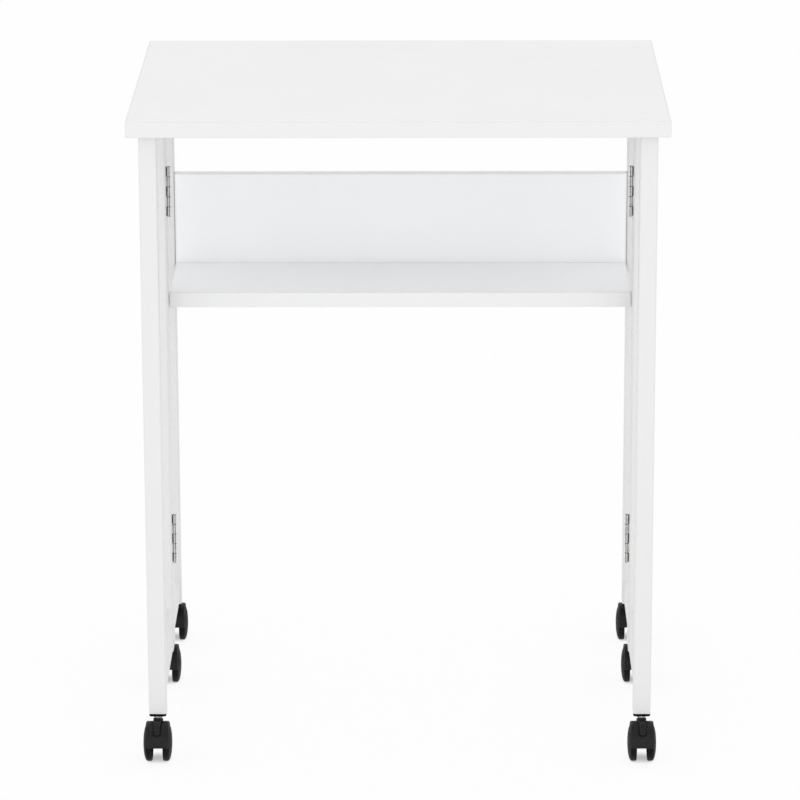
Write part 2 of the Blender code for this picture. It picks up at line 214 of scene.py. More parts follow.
def lathe(profile: Sequence[Point], sides: int = 48) -> Solid:
    """Turn a profile about the Z axis.

    Args:
        profile: Points of radius and height, from one pole to the other.
        sides: Segments of the turn.

    Returns:
        A closed solid.
    """
    solid = bmesh.new()
    solid.verts.layers.float.new(EDGE)
    rings = []
    for radius, height in profile:
        spots = sides if radius > 0.0 else 1
        angles = [2 * math.pi * spot / sides for spot in range(spots)]
        rings.append([solid.verts.new((radius * math.cos(a), radius * math.sin(a), height)) for a in angles])
    for upper, lower in zip(rings, rings[1:]):
        for index in range(sides):
            following = index + 1
            corners = (
                upper[index % len(upper)],
                upper[following % len(upper)],
                lower[following % len(lower)],
                lower[index % len(lower)],
            )
            solid.faces.new(dict.fromkeys(corners))
    bmesh.ops.recalc_face_normals(solid, faces=solid.faces)
    return solid


def bar(radius: float, length: float, chamfer: float = 0.0, sides: int = 32) -> Solid:
    """Make a round bar along Z, centred on the origin, with chamfered ends where a chamfer is given.

    Args:
        radius: Radius of the bar.
        length: Its length.
        chamfer: Chamfer of its ends, or 0 for plain ends.
        sides: Segments of the turn.

    Returns:
        The solid.
    """
    half = length / 2
    cap = [(0.0, half), (radius - chamfer, half)]
    if chamfer > 0.0:
        cap.append((radius, half - chamfer))
    return lathe(cap + [(r, -h) for r, h in reversed(cap)], sides)


def prism(outline: Sequence[Point], low: float, high: float) -> Solid:
    """Extrude an outline of Y and Z along X, between two values of X."""
    return loft([[Vector((x, y, z)) for y, z in outline] for x in (low, high)])


def ease_edges(solid: Solid, width: float, segments: int = 2, over: float = 0.6) -> Solid:
    """Round the edges whose faces meet at more than an angle in radians.

    Args:
        solid: The solid, which is changed.
        width: Width of the rounding.
        segments: Segments of the rounding.
        over: The angle.

    Returns:
        The same solid.
    """
    sharp = [edge for edge in solid.edges if edge.is_manifold and edge.calc_face_angle() > over]
    bmesh.ops.bevel(solid, geom=sharp, offset=width, segments=segments, profile=0.5, affect="EDGES")
    return solid


def moved(solid: Solid, matrix: Matrix) -> Solid:
    """Move a solid by a matrix."""
    solid.transform(matrix)
    return solid


def shifted(solid: Solid, x: float = 0.0, y: float = 0.0, z: float = 0.0) -> Solid:
    """Shift a solid along the axes."""
    return moved(solid, Matrix.Translation((x, y, z)))


def gathered(solids: Iterable[Solid]) -> Solid:
    """Put solids that don't touch into one.

    Args:
        solids: The solids, which are used up.

    Returns:
        One solid that holds them all.
    """
    whole = bmesh.new()
    whole.verts.layers.float.new(EDGE)
    for solid in solids:
        mesh = bpy.data.meshes.new("part")
        solid.to_mesh(mesh)
        solid.free()
        whole.from_mesh(mesh)
        bpy.data.meshes.remove(mesh)
    return whole


def carved(base: Solid, joined: Sequence[Solid] = (), cut: Sequence[Solid] = ()) -> Solid:
    """Weld solids to a base and cut others out of it.

    Args:
        base: The solid to start from.
        joined: Solids that become one with it.
        cut: Solids that are taken out of the result.

    Returns:
        The finished solid; the others are used up.
    """
    blanks = []
    for solid in (base, *joined, *cut):
        mesh = bpy.data.meshes.new("blank")
        solid.to_mesh(mesh)
        solid.free()
        blank = bpy.data.objects.new("blank", mesh)
        bpy.context.scene.collection.objects.link(blank)
        blanks.append(blank)
    for index, blank in enumerate(blanks[1:]):
        step = blanks[0].modifiers.new("step", "BOOLEAN")
        step.operation = "UNION" if index < len(joined) else "DIFFERENCE"
        step.solver = "EXACT"
        step.object = blank
    depsgraph = bpy.context.evaluated_depsgraph_get()
    mesh = bpy.data.meshes.new_from_object(blanks[0].evaluated_get(depsgraph))
    result = bmesh.new()
    result.from_mesh(mesh)
    bmesh.ops.remove_doubles(result, verts=result.verts, dist=1e-7)
    bpy.data.meshes.remove(mesh)
    for blank in blanks:
        data = blank.data
        bpy.data.objects.remove(blank)
        bpy.data.meshes.remove(data)
    return result


def facing(direction: Vector, spin: float = 0.0) -> Matrix:
    """Give the rotation that sends Z to a direction, after a spin about Z."""
    turn = Vector((0.0, 0.0, 1.0)).rotation_difference(direction)
    return turn.to_matrix().to_4x4() @ Matrix.Rotation(spin, 4, "Z")


def mesh_of(solid: Solid, name: str, sharp: float = 35.0) -> bpy.types.Mesh:
    """Turn a solid into a mesh with smooth faces, sharp edges and its exposed edges marked.

    Args:
        solid: The solid, which is used up.
        name: The mesh's name.
        sharp: The angle in degrees above which an edge stays sharp.

    Returns:
        The mesh.
    """
    layer = solid.verts.layers.float.get(EDGE) or solid.verts.layers.float.new(EDGE)
    for edge in solid.edges:
        if edge.is_manifold and edge.calc_face_angle_signed() > math.radians(sharp):
            for vert in edge.verts:
                vert[layer] = 1.0
    mesh = bpy.data.meshes.new(name)
    solid.to_mesh(mesh)
    solid.free()
    mesh.shade_smooth()
    mesh.set_sharp_from_angle(angle=math.radians(sharp))
    return mesh


# Finishes


@dataclass(frozen=True)
class Patches:
    """Soft patches: a noise that is mapped from one range to another and held there.

    Attributes:
        scale: Features in a metre.
        detail: Octaves of finer noise.
        source: Values of the noise, which is about 0.5 on average, that are mapped.
        target: The values that they become.
        stretch: Scale along each of the object's axes.
    """

    scale: float
    detail: float
    source: Point = (0.3, 0.7)
    target: Point = (0.0, 1.0)
    stretch: Triple = (1.0, 1.0, 1.0)


@dataclass(frozen=True)
class Relief:
    """Fine bumps: a noise as in patches, with a strength and a depth in metres."""

    scale: float
    detail: float
    strength: float
    depth: float
    stretch: Triple = (1.0, 1.0, 1.0)


class NodeTree:
    """A material's nodes, with short calls for what the finishes share."""

    def __init__(self, name: str) -> None:
        """Start a material of that name.

        Args:
            name: The material's name.
        """
        self.material = bpy.data.materials.new(name)
        self.material.use_nodes = True
        self.nodes = self.material.node_tree.nodes
        self.links = self.material.node_tree.links
        self.shader = self.nodes["Principled BSDF"]
        self.place = self.nodes.new("ShaderNodeTexCoord").outputs["Object"]

    def noise(self, grain: Patches | Relief) -> Socket:
        """Add the noise of some patches or of a relief.

        Args:
            grain: The patches or the relief.

        Returns:
            The noise's value.
        """
        mapping = self.nodes.new("ShaderNodeMapping")
        mapping.inputs["Scale"].default_value = grain.stretch
        self.links.new(self.place, mapping.inputs["Vector"])
        texture = self.nodes.new("ShaderNodeTexNoise")
        texture.inputs["Scale"].default_value = grain.scale
        texture.inputs["Detail"].default_value = grain.detail
        self.links.new(mapping.outputs["Vector"], texture.inputs["Vector"])
        return texture.outputs["Fac"]

    def spread(self, value: Socket, source: Point, target: Point = (0.0, 1.0)) -> Socket:
        """Map a value from one range to another and hold it there.

        Args:
            value: The value.
            source: The range that it comes from.
            target: The range that it goes to.

        Returns:
            The mapped value.
        """
        node = self.nodes.new("ShaderNodeMapRange")
        for name, number in zip(("From Min", "From Max", "To Min", "To Max"), (*source, *target)):
            node.inputs[name].default_value = number
        self.links.new(value, node.inputs["Value"])
        return node.outputs["Result"]

    def patches(self, patches: Patches) -> Socket:
        """Add soft patches."""
        return self.spread(self.noise(patches), patches.source, patches.target)

    def product(self, first: Socket, second: Socket) -> Socket:
        """Multiply two values.

        Args:
            first: One value.
            second: The other.

        Returns:
            Their product.
        """
        node = self.nodes.new("ShaderNodeMath")
        node.operation = "MULTIPLY"
        self.links.new(first, node.inputs[0])
        self.links.new(second, node.inputs[1])
        return node.outputs["Value"]

    def exposed(self) -> Socket:
        """Read how exposed the surface is to wear, from 0 on a flat to 1 on an edge.

        Returns:
            The value.
        """
        node = self.nodes.new("ShaderNodeAttribute")
        node.attribute_name = EDGE
        return node.outputs["Fac"]

    def closed_in(self, reach: float, closed: float, clear: float) -> Socket:
        """Tell how closed in the surface is, from 0 in the clear to 1 in a narrow joint, as the mask of
        painted shade.

        Args:
            reach: How far away a neighbour still closes the surface in.
            closed: The raw openness that counts as 1.
            clear: The raw openness that counts as 0.

        Returns:
            The value.
        """
        node = self.nodes.new("ShaderNodeAmbientOcclusion")
        node.inputs["Distance"].default_value = reach
        return self.spread(node.outputs["AO"], (closed, clear), (1.0, 0.0))

    def mixed(self, share: Socket, first: Colour | Socket, second: Colour) -> Socket:
        """Blend from a colour, or from another blend, to a second colour by a share from 0 to 1.

        Args:
            share: The second colour's share.
            first: The colour or the blend to start from.
            second: The colour that is blended in.

        Returns:
            The blend.
        """
        node = self.nodes.new("ShaderNodeMix")
        node.data_type = "RGBA"
        self.links.new(share, node.inputs[0])
        if isinstance(first, tuple):
            node.inputs[MIX_FIRST].default_value = (*first, 1.0)
        else:
            self.links.new(first, node.inputs[MIX_FIRST])
        node.inputs[MIX_SECOND].default_value = (*second, 1.0)
        return node.outputs[MIX_RESULT]

    def feed(self, name: str, value: Socket) -> None:
        """Feed one of the shader's sockets."""
        self.links.new(value, self.shader.inputs[name])

    def relief(self, layers: Iterable[Relief]) -> None:
        """Stack bumps on the shader.

        Args:
            layers: The bumps, from the lowest up.
        """
        normal = None
        for layer in layers:
            node = self.nodes.new("ShaderNodeBump")
            node.inputs["Strength"].default_value = layer.strength
            node.inputs["Distance"].default_value = layer.depth
            self.links.new(self.noise(layer), node.inputs["Height"])
            if normal is not None:
                self.links.new(normal, node.inputs["Normal"])
            normal = node.outputs["Normal"]
        self.feed("Normal", normal)


@dataclass(frozen=True)
class Finish:
    """What the finishes share: clouds in the tone, wear on exposed edges, painted shade in narrow joints, a
    sheen and a grain.

    Attributes:
        slot: The record's slot that it goes to.
        name: The material's name.
        colour: The main tone.
        cloud: The tone of its clouds.
        worn: The tone of worn edges.
        clouds: Where the clouds lie.
        wear: Where exposed edges are worn, and how much.
        sheen: The roughness.
        grain: The bumps.
        crevice: Painted shade: the tone that narrow joints darken to, where a finish has it.
        joint: Reach of a neighbour, and the raw openness of a narrow joint and of the clear, for that painted
            shade.
        fixed: Sockets of the shader that are the same all over.
    """

    slot: Slot
    name: str
    colour: Colour
    cloud: Colour
    worn: Colour
    clouds: Patches
    wear: Patches
    sheen: Patches
    grain: tuple[Relief, ...]
    crevice: Colour | None = None
    joint: Triple = (0.0014, 0.35, 0.75)
    fixed: tuple[tuple[str, float], ...] = ()

    def _tone(self, tree: NodeTree) -> Socket:
        """Blend the tones of the flats, the worn edges and the painted shade in the joints.

        Args:
            tree: The material's nodes.

        Returns:
            The blend.
        """
        body = tree.mixed(tree.patches(self.clouds), self.colour, self.cloud)
        tone = tree.mixed(tree.product(tree.exposed(), tree.patches(self.wear)), body, self.worn)
        if self.crevice is None:
            return tone
        # Painted shade: ambient occlusion darkens narrow joints towards the shade colour.
        return tree.mixed(tree.closed_in(*self.joint), tone, self.crevice)

    def material(self) -> bpy.types.Material:
        """Make the finish's node material.

        Returns:
            The material.
        """
        tree = NodeTree(self.name)
        for socket, value in self.fixed:
            tree.shader.inputs[socket].default_value = value
        tree.feed("Base Color", self._tone(tree))
        tree.feed("Roughness", tree.patches(self.sheen))
        tree.relief(self.grain)
        return tree.material


@dataclass(frozen=True)
class Laminate(Finish):
    """White satin laminate with a fine pearl, and an edge band rubbed along its corners.

    Attributes:
        band: The white of the edge band.
        band_from: How exposed the face is where the band starts and where it is whole.
        corner_from: How exposed the band is where its corners start and where they are sharpest.
    """

    slot: Slot = Slot.LAMINATE
    name: str = "top_laminate"
    colour: Colour = (0.836, 0.836, 0.836)
    cloud: Colour = (0.826, 0.826, 0.826)
    worn: Colour = (0.690, 0.686, 0.677)
    clouds: Patches = Patches(7.0, 3.0, (0.35, 0.65))
    wear: Patches = Patches(60.0, 4.0, (0.62, 0.80), (0.0, 0.5))
    sheen: Patches = Patches(38.0, 3.0, target=(0.40, 0.50))
    grain: tuple[Relief, ...] = (Relief(260.0, 1.0, 0.10, 0.00005), Relief(1800.0, 2.0, 0.22, 0.00003))
    band: Colour = (0.775, 0.775, 0.775)
    band_from: Point = (0.0, 0.5)
    corner_from: Point = (0.65, 1.0)

    def _tone(self, tree: NodeTree) -> Socket:
        """Blend the tones of the face, the edge band and its rubbed corners.

        Args:
            tree: The material's nodes.

        Returns:
            The blend.
        """
        exposed = tree.exposed()
        face = tree.mixed(tree.patches(self.clouds), self.colour, self.cloud)
        banded = tree.mixed(tree.spread(exposed, self.band_from), face, self.band)
        rubbed = tree.product(tree.spread(exposed, self.corner_from), tree.patches(self.wear))
        return tree.mixed(rubbed, banded, self.worn)


@dataclass(frozen=True)
class PowderCoat(Finish):
    """White satin powder coat with its orange peel, thinner on edges."""

    slot: Slot = Slot.POWDER_COAT
    name: str = "white_powder_coat"
    colour: Colour = (0.769, 0.769, 0.767)
    cloud: Colour = (0.765, 0.765, 0.762)
    worn: Colour = (0.720, 0.718, 0.710)
    clouds: Patches = Patches(11.0, 3.0, (0.35, 0.65))
    wear: Patches = Patches(90.0, 4.0, (0.40, 0.75), (0.0, 0.7))
    sheen: Patches = Patches(55.0, 2.0, target=(0.37, 0.43))
    grain: tuple[Relief, ...] = (Relief(620.0, 1.0, 0.20, 0.00006), Relief(2600.0, 2.0, 0.15, 0.00002))


DRAWN: Triple = (1.0, 1.0, 0.06)


@dataclass(frozen=True)
class PlatedSteel(Finish):
    """Plated steel with drawn lines, dull in blotches, bright where it is rubbed, and with painted shade in
    its joints.
    """

    slot: Slot = Slot.STEEL
    name: str = "nickel_plate"
    colour: Colour = (0.800, 0.790, 0.770)
    cloud: Colour = (0.600, 0.585, 0.560)
    worn: Colour = (0.900, 0.890, 0.875)
    clouds: Patches = Patches(140.0, 4.0, (0.45, 0.75))
    wear: Patches = Patches(300.0, 3.0, (0.35, 0.65), (0.0, 0.8))
    sheen: Patches = Patches(900.0, 3.0, target=(0.20, 0.36), stretch=DRAWN)
    grain: tuple[Relief, ...] = (Relief(900.0, 3.0, 0.18, 0.00004, DRAWN),)
    # Painted shade: the tone that its narrow joints darken to.
    crevice: Colour = (0.030, 0.027, 0.024)
    fixed: tuple[tuple[str, float], ...] = (("Metallic", 1.0),)


@dataclass(frozen=True)
class MouldedPlastic(Finish):
    """Black moulded plastic with flow marks, a spark-eroded grain, paler rubbed edges and painted shade in
    its joints.
    """

    slot: Slot = Slot.PLASTIC
    name: str = "caster_plastic"
    colour: Colour = (0.0092, 0.0092, 0.0095)
    cloud: Colour = (0.0132, 0.0132, 0.0137)
    worn: Colour = (0.0480, 0.0480, 0.0495)
    clouds: Patches = Patches(160.0, 3.0, (0.35, 0.70))
    wear: Patches = Patches(420.0, 4.0, (0.42, 0.72), (0.0, 0.6))
    sheen: Patches = Patches(240.0, 2.0, target=(0.36, 0.50))
    grain: tuple[Relief, ...] = (Relief(3600.0, 2.0, 0.35, 0.00004),)
    # Painted shade: the tone that its narrow joints darken to, which the plugs share.
    crevice: Colour = (0.0012, 0.0012, 0.0012)
    joint: Triple = (0.003, 0.45, 0.85)
    fixed: tuple[tuple[str, float], ...] = (("Specular IOR Level", 0.16),)


@dataclass(frozen=True)
class WheelTread(Finish):
    """Black wheel plastic, a little softer looking, with a trace of floor dust on its edges."""

    slot: Slot = Slot.TREAD
    name: str = "black_tread"
    colour: Colour = (0.0048, 0.0048, 0.0050)
    cloud: Colour = (0.0072, 0.0072, 0.0075)
    worn: Colour = (0.0300, 0.0294, 0.0280)
    clouds: Patches = Patches(220.0, 4.0, (0.35, 0.70))
    wear: Patches = Patches(500.0, 4.0, (0.45, 0.75), (0.0, 0.6))
    sheen: Patches = Patches(300.0, 3.0, target=(0.42, 0.60))
    grain: tuple[Relief, ...] = (Relief(2400.0, 2.0, 0.25, 0.00004),)
    fixed: tuple[tuple[str, float], ...] = (("Specular IOR Level", 0.09),)


TOP_LAMINATE = Laminate()
# The top's laminate made lighter for the shelf and the back panel: painted light that makes up for the shade
# the top casts on them.
PAINTED_LIGHT_SHELF_LAMINATE = Laminate(
    name="shelf_laminate",
    colour=(0.957, 0.961, 0.970),
    cloud=(0.948, 0.952, 0.961),
    band=(0.838, 0.840, 0.843),
)
FRAME_PAINT = PowderCoat()
NICKEL = PlatedSteel()
STEM_CHROME = PlatedSteel(
    name="stem_chrome",
    colour=(0.940, 0.940, 0.940),
    cloud=(0.900, 0.900, 0.895),
    worn=(0.965, 0.965, 0.965),
    # A paler painted shade in the stem's joints.
    crevice=(0.720, 0.720, 0.715),
)
CASTER_BLACK = MouldedPlastic()
PLUG_BLACK = MouldedPlastic(
    name="plug_plastic",
    colour=(0.0030, 0.0030, 0.0030),
    cloud=(0.0042, 0.0042, 0.0042),
    worn=(0.0110, 0.0110, 0.0112),
    fixed=(("Specular IOR Level", 0.03),),
)
WHEEL_BLACK = WheelTread()


# Bench


class Bench:
    """Turns meshes into named pieces that ride on the desk's bodies."""

    def __init__(self) -> None:
        """Start with no finish made."""
        self.made: dict[Finish, bpy.types.Material] = {}

    def material(self, finish: Finish) -> bpy.types.Material:
        """Give a finish's material, which is made when it is first asked for.

        Args:
            finish: The finish.

        Returns:
            The material.
        """
        if finish not in self.made:
            self.made[finish] = finish.material()
        return self.made[finish]

    def piece(
        self,
        name: str,
        mesh: bpy.types.Mesh,
        finish: Finish,
        body: str,
        matrix: Matrix | None = None,
        node: str | None = None,
    ) -> bpy.types.Object:
        """Place one piece.

        Args:
            name: The piece's name.
            mesh: Its mesh, which other pieces may share.
            finish: The finish that it takes.
            body: The body that it rides on.
            matrix: Where it goes, if its mesh isn't in the frame's own axes.
            node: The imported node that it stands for, if any.

        Returns:
            The piece.
        """
        if not mesh.materials:
            mesh.materials.append(self.material(finish))
        obj = bpy.data.objects.new(name, mesh)
        bpy.context.scene.collection.objects.link(obj)
        if matrix is not None:
            obj.matrix_world = matrix
        obj.modifiers.new("even_shading", "WEIGHTED_NORMAL").keep_sharp = True
        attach(obj, body)
        if node is not None:
            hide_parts(node)
        LOG.info("%s on %s: %d faces", name, body, len(mesh.polygons))
        return obj

    def dress(self, node: str, finish: Finish) -> None:
        """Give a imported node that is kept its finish.

        Args:
            node: The node.
            finish: The finish that it takes.
        """
        for holder in frame["nodes"][node].material_slots:
            holder.material = self.material(finish)
        LOG.info("%s kept, in %s", node, finish.slot.value)


# Boards


@dataclass
class Boards:
    """The tabletop, the shelf and the back panel, each with a glued edge band.

    Attributes:
        arris: Radius of the rounded edges.
        band: Thickness of the edge band.
        seam: Width and depth of the fine line where the band meets the face.
        corner: Radius of the corners, seen from above.
        least_corner: The least that this radius comes down to, on the faces.
        steps: Segments of the rounded edges.
        banded: How exposed the band's flats are to wear.
    """

    arris: float = 0.0013
    band: float = 0.0017
    seam: float = 0.00012
    corner: float = 0.0014
    least_corner: float = 0.0001
    steps: int = 5
    banded: float = 0.6

    def _board(self, size: Vector) -> Solid:
        """Make a flat board about the origin, with rings from the middle of one face to that of the other.

        Args:
            size: Its width, depth and thickness.

        Returns:
            The solid.
        """
        face_ring, side_ring = 12 * self.band, 3 * self.arris
        half: list[Triple] = [
            (face_ring, 0.0, 0.0),
            (self.band + 2 * self.seam, 0.0, 0.0),
            (self.band + self.seam, self.seam, 0.0),
            (self.band, 0.0, self.banded),
        ]
        for step in range(self.steps + 1):
            angle = step / self.steps * math.pi / 2
            inset = self.arris * (1 - math.sin(angle))
            amount = self.banded + (1 - self.banded) * math.sin(2 * angle)
            half.append((inset, self.arris * (1 - math.cos(angle)), amount))
        half.append((0.0, side_ring, self.banded))
        rows = [(inset, rise - size.z / 2, amount) for inset, rise, amount in half]
        rows += [(inset, size.z / 2 - rise, amount) for inset, rise, amount in reversed(half)]
        rings = stacked(
            ((size.x - 2 * inset, size.y - 2 * inset), max(self.corner - inset, self.least_corner), height)
            for inset, height, _ in rows
        )
        return loft(rings, wear=[amount for _, _, amount in rows])

    def build(self, bench: Bench) -> None:
        """Build and place the three boards.

        Args:
            bench: Where the pieces are placed.
        """
        for node, body in (("tabletop", "top"), ("shelf", "rear_frame"), ("back_panel", "rear_frame")):
            low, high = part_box(node)
            size = high - low
            turn = Axis.Z.turn
            if size.y < size.z:
                size = size.xzy
                turn = Axis.Y.turn
            solid = moved(self._board(size), Matrix.Translation((low + high) / 2) @ turn)
            # The shelf and the back panel take the lighter copy, painted light against the top's shade.
            finish = TOP_LAMINATE if node == "tabletop" else PAINTED_LIGHT_SHELF_LAMINATE
            bench.piece(f"{node}_board", mesh_of(solid, f"{node}_board", sharp=50.0), finish, body, node=node)


# Tube frames


@dataclass
class TubeFrames:
    """The welded tube frames: posts, rails, weld beads and the plugs in open tube ends.

    Attributes:
        tube: Outer side of a post.
        wall: Wall of the tube.
        corner: Outer corner radius of a post.
        ease: Easing of a post's end edges.
        steps: Segments of a tube's corners.
        rail: Width of a rail, whose height differs.
        rail_corner: Outer corner radius of a rail.
        rail_inset: How far the rails stay from the posts' ends.
        top_rail_height: Height of a top rail.
        bottom_rail_heights: Height of the gate's and of the rear frame's bottom rail.
        bead: Leg of a weld bead.
        bead_steps: Segments of a bead along each side of its rail.
        bead_rows: The bead's section, as shares of its leg out from the rail and along it.
        ripple: Height and spacing of the bead's ripples.
        thin_end: How far from a tube's end its paint is thin.
        plug_play: Play between a plug and its tube.
        plug_corner: Corner radius of a plug.
        plug_rows: The plug's section, as insets and heights.
    """

    tube: float = 0.020
    wall: float = 0.0015
    corner: float = 0.0024
    ease: float = 0.0003
    steps: int = 6
    rail: float = 0.015
    rail_corner: float = 0.0022
    rail_inset: float = 0.001
    top_rail_height: float = 0.030
    bottom_rail_heights: Point = (0.050, 0.030)
    bead: float = 0.0011
    bead_steps: int = 14
    bead_rows: tuple[Point, ...] = (
        (1.0, -0.2),
        (1.0, 0.12),
        (0.72, 0.45),
        (0.40, 0.75),
        (0.12, 1.0),
        (-0.15, 1.1),
    )
    ripple: Point = (0.16, 2.1)
    thin_end: float = 0.002
    plug_play: float = 0.0001
    plug_corner: float = 0.0010
    plug_rows: tuple[Point, ...] = (
        (0.0030, -0.0002),
        (0.0012, -0.00025),
        (0.0005, -0.0005),
        (0.0, -0.0011),
        (0.0, -0.0060),
    )

    def _post(self, x: float, y: float, low: float, high: float) -> Solid:
        """Make one hollow post with eased ends.

        Args:
            x: X of its middle.
            y: Y of its middle.
            low: Height of its foot.
            high: Height of its top.

        Returns:
            The solid.
        """
        ease = self.ease
        outer = (self.tube, self.corner)
        inner = (self.tube - 2 * self.wall, self.corner - self.wall)
        rows = (
            (outer, -ease, low),
            (outer, 0.0, low + ease),
            (outer, 0.0, low + self.thin_end),
            (outer, 0.0, high - self.thin_end),
            (outer, 0.0, high - ease),
            (outer, -ease, high),
            (inner, ease, high),
            (inner, 0.0, high - ease),
            (inner, 0.0, low + ease),
            (inner, ease, low),
        )
        grown = [(side + 2 * grow, radius + grow, height) for (side, radius), grow, height in rows]
        rings = stacked((((side, side), radius, height) for side, radius, height in grown), self.steps)
        return shifted(loft(rings, hollow=True), x, y)

    def _length(self, size: Point, corner: float, length: float) -> Solid:
        """Make a length of tube along Z, whose paint is thin only near its ends.

        Args:
            size: Width and depth of its section.
            corner: Corner radius of its section.
            length: Its length.

        Returns:
            The solid.
        """
        half = length / 2
        inner = half - self.thin_end
        return loft(stacked(((size, corner, height) for height in (-half, -inner, inner, half)), self.steps))

    def _rail(self, x: float, ends: Point, low: float, height: float) -> Solid:
        """Make one rail along Y between two post faces.

        Args:
            x: X of its middle.
            ends: Y of the two faces.
            low: Height of its underside.
            height: How tall it is.

        Returns:
            The solid.
        """
        solid = self._length((self.rail, height), self.rail_corner, ends[1] - ends[0])
        place = Matrix.Translation((x, (ends[0] + ends[1]) / 2, low + height / 2))
        return moved(solid, place @ Axis.Y.turn)

    def _bead(self, height: float) -> Solid:
        """Make the weld bead round one rail end, with the end at Z 0 and the rail along Z.

        Args:
            height: How tall the rail is.

        Returns:
            The solid.
        """
        leg = self.bead
        high, spacing = self.ripple
        grown = (self.rail + 2 * leg, height + 2 * leg)
        plain = rounded_rectangle((self.rail, height), self.rail_corner, self.steps, self.bead_steps)
        wide = rounded_rectangle(grown, self.rail_corner + leg, self.steps, self.bead_steps)
        rings = []
        for share, along in self.bead_rows:
            ring = []
            for index, (near, far) in enumerate(zip(plain, wide)):
                x, y = Vector(near).lerp(Vector(far), share * (1.0 + high * math.sin(index * spacing)))
                ring.append(Vector((x, y, along * leg)))
            rings.append(ring)
        return loft(rings)

    def _plug(self) -> Solid:
        """Make the plug of an open tube end, with its face at Z 0 and its body below.

        Returns:
            The solid.
        """
        side = self.tube - 2 * self.wall - self.plug_play
        rows = [(side - 2 * inset, height) for inset, height in self.plug_rows]
        return loft(stacked(((across, across), self.plug_corner, height) for across, height in rows))

    def _frame(self, bench: Bench, side: Side, gate: bool) -> None:
        """Build one frame.

        Args:
            bench: Where its pieces are placed.
            side: The desk's side that it stands on.
            gate: True for the gate, False for the rear frame.
        """
        kind = "gate" if gate else "rear"
        node = f"{side.word}_{kind}_frame"
        body = f"{side.word}_gate" if gate else "rear_frame"
        names = ("front_post", "hinge_stile") if gate else ("middle_post", "rear_post")
        low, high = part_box(node)
        half = self.tube / 2
        near_x, far_x = sorted((low.x + half, high.x - half), key=abs)
        posts = ((near_x, low.y + half), (far_x, high.y - half))
        for index, (part, (x, y)) in enumerate(zip(names, posts)):
            mesh = mesh_of(self._post(x, y, low.z, high.z), f"{node}_{part}")
            stands_for = node if index == 0 else None
            bench.piece(f"{node}_{part}", mesh, FRAME_PAINT, body, node=stands_for)
            plug = shifted(self._plug(), x, y, high.z)
            bench.piece(f"{node}_{part}_top_plug", mesh_of(plug, "plug"), PLUG_BLACK, body)
        if gate:
            foot = Matrix.Translation((*posts[1], low.z)) @ Matrix.Rotation(math.pi, 4, "X")
            plug = mesh_of(moved(self._plug(), foot), "plug")
            bench.piece(f"{node}_stile_foot_plug", plug, PLUG_BLACK, body)
        ends = (posts[0][1] + half, posts[1][1] - half)
        rail_x = (near_x + far_x) / 2
        bottom_height = self.bottom_rail_heights[0 if gate else 1]
        rails = {
            "bottom": (low.z + self.rail_inset, bottom_height),
            "top": (high.z - self.rail_inset - self.top_rail_height, self.top_rail_height),
        }
        for level, (bottom, height) in rails.items():
            rail = mesh_of(self._rail(rail_x, ends, bottom, height), f"{node}_{level}_rail")
            bench.piece(f"{node}_{level}_rail", rail, FRAME_PAINT, body)
            beads = []
            for end, away in zip(ends, (-1, 1)):
                place = Matrix.Translation((rail_x, end, bottom + height / 2))
                turn = Matrix.Rotation(away * math.pi / 2, 4, "X")
                beads.append(moved(self._bead(height), place @ turn))
            welds = mesh_of(gathered(beads), f"{node}_{level}_welds", sharp=60.0)
            bench.piece(f"{node}_{level}_welds", welds, FRAME_PAINT, body)

    def build(self, bench: Bench) -> None:
        """Build the four frames and the rail that ties the rear ones.

        Args:
            bench: Where the pieces are placed.
        """
        for side in Side:
            self._frame(bench, side, gate=True)
            self._frame(bench, side, gate=False)
        low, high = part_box("rear_top_rail")
        size = high - low
        solid = self._length((size.z, size.y), self.corner, size.x)
        mesh = mesh_of(moved(solid, Matrix.Translation((low + high) / 2) @ Axis.X.turn), "rear_tie_rail")
        bench.piece("rear_tie_rail", mesh, FRAME_PAINT, "rear_frame", node="rear_top_rail")


# Fasteners


class Drive(Enum):
    """The recess in a screw's head."""

    CROSS = "cross"
    HEX = "hex"


@dataclass(frozen=True)
class ScrewHead:
    """A screw head that stands on Z 0 and faces +Z.

    Attributes:
        radius: Radius of the head.
        height: Height of its dome.
        drive: Shape of its recess.
    """

    radius: float
    height: float
    drive: Drive

    def _recess(self) -> list[Solid]:
        """Make the recess's cutters.

        Returns:
            The cutters.
        """
        top = self.height + 0.001
        floor = 0.35 * self.height
        if self.drive is Drive.HEX:
            across = 0.46 * self.radius
            sixths = [sixth * math.pi / 3 for sixth in range(6)]
            corners = [(across * math.cos(angle), across * math.sin(angle)) for angle in sixths]
            return [loft([ring_at(corners, floor), ring_at(corners, top)])]
        arm = (1.16 * self.radius, 0.30 * self.radius)
        corner, taper = 0.02 * self.radius, 0.6
        crossed = []
        for size in (arm, arm[::-1]):
            wide = rounded_rectangle(size, corner, steps=1)
            narrow = [(taper * x, taper * y) for x, y in wide]
            crossed.append(loft([ring_at(narrow, floor), ring_at(wide, top)]))
        return crossed

    def solid(self) -> Solid:
        """Make the head with its recess.

        Returns:
            The solid.
        """
        steps = 6
        rim, dome = 0.18, 0.82
        fullness, flatness = 0.8, 0.7
        profile = [(0.0, self.height)]
        for step in range(1, steps + 1):
            angle = step / steps * math.pi / 2
            radius = self.radius * math.sin(angle) ** fullness
            profile.append((radius, self.height * (rim + dome * math.cos(angle) ** flatness)))
        shank, end = 0.6 * self.radius, -0.0003
        profile += [(self.radius, 0.0), (shank, 0.0), (shank, end), (0.0, end)]
        return carved(lathe(profile, 28), cut=self._recess())


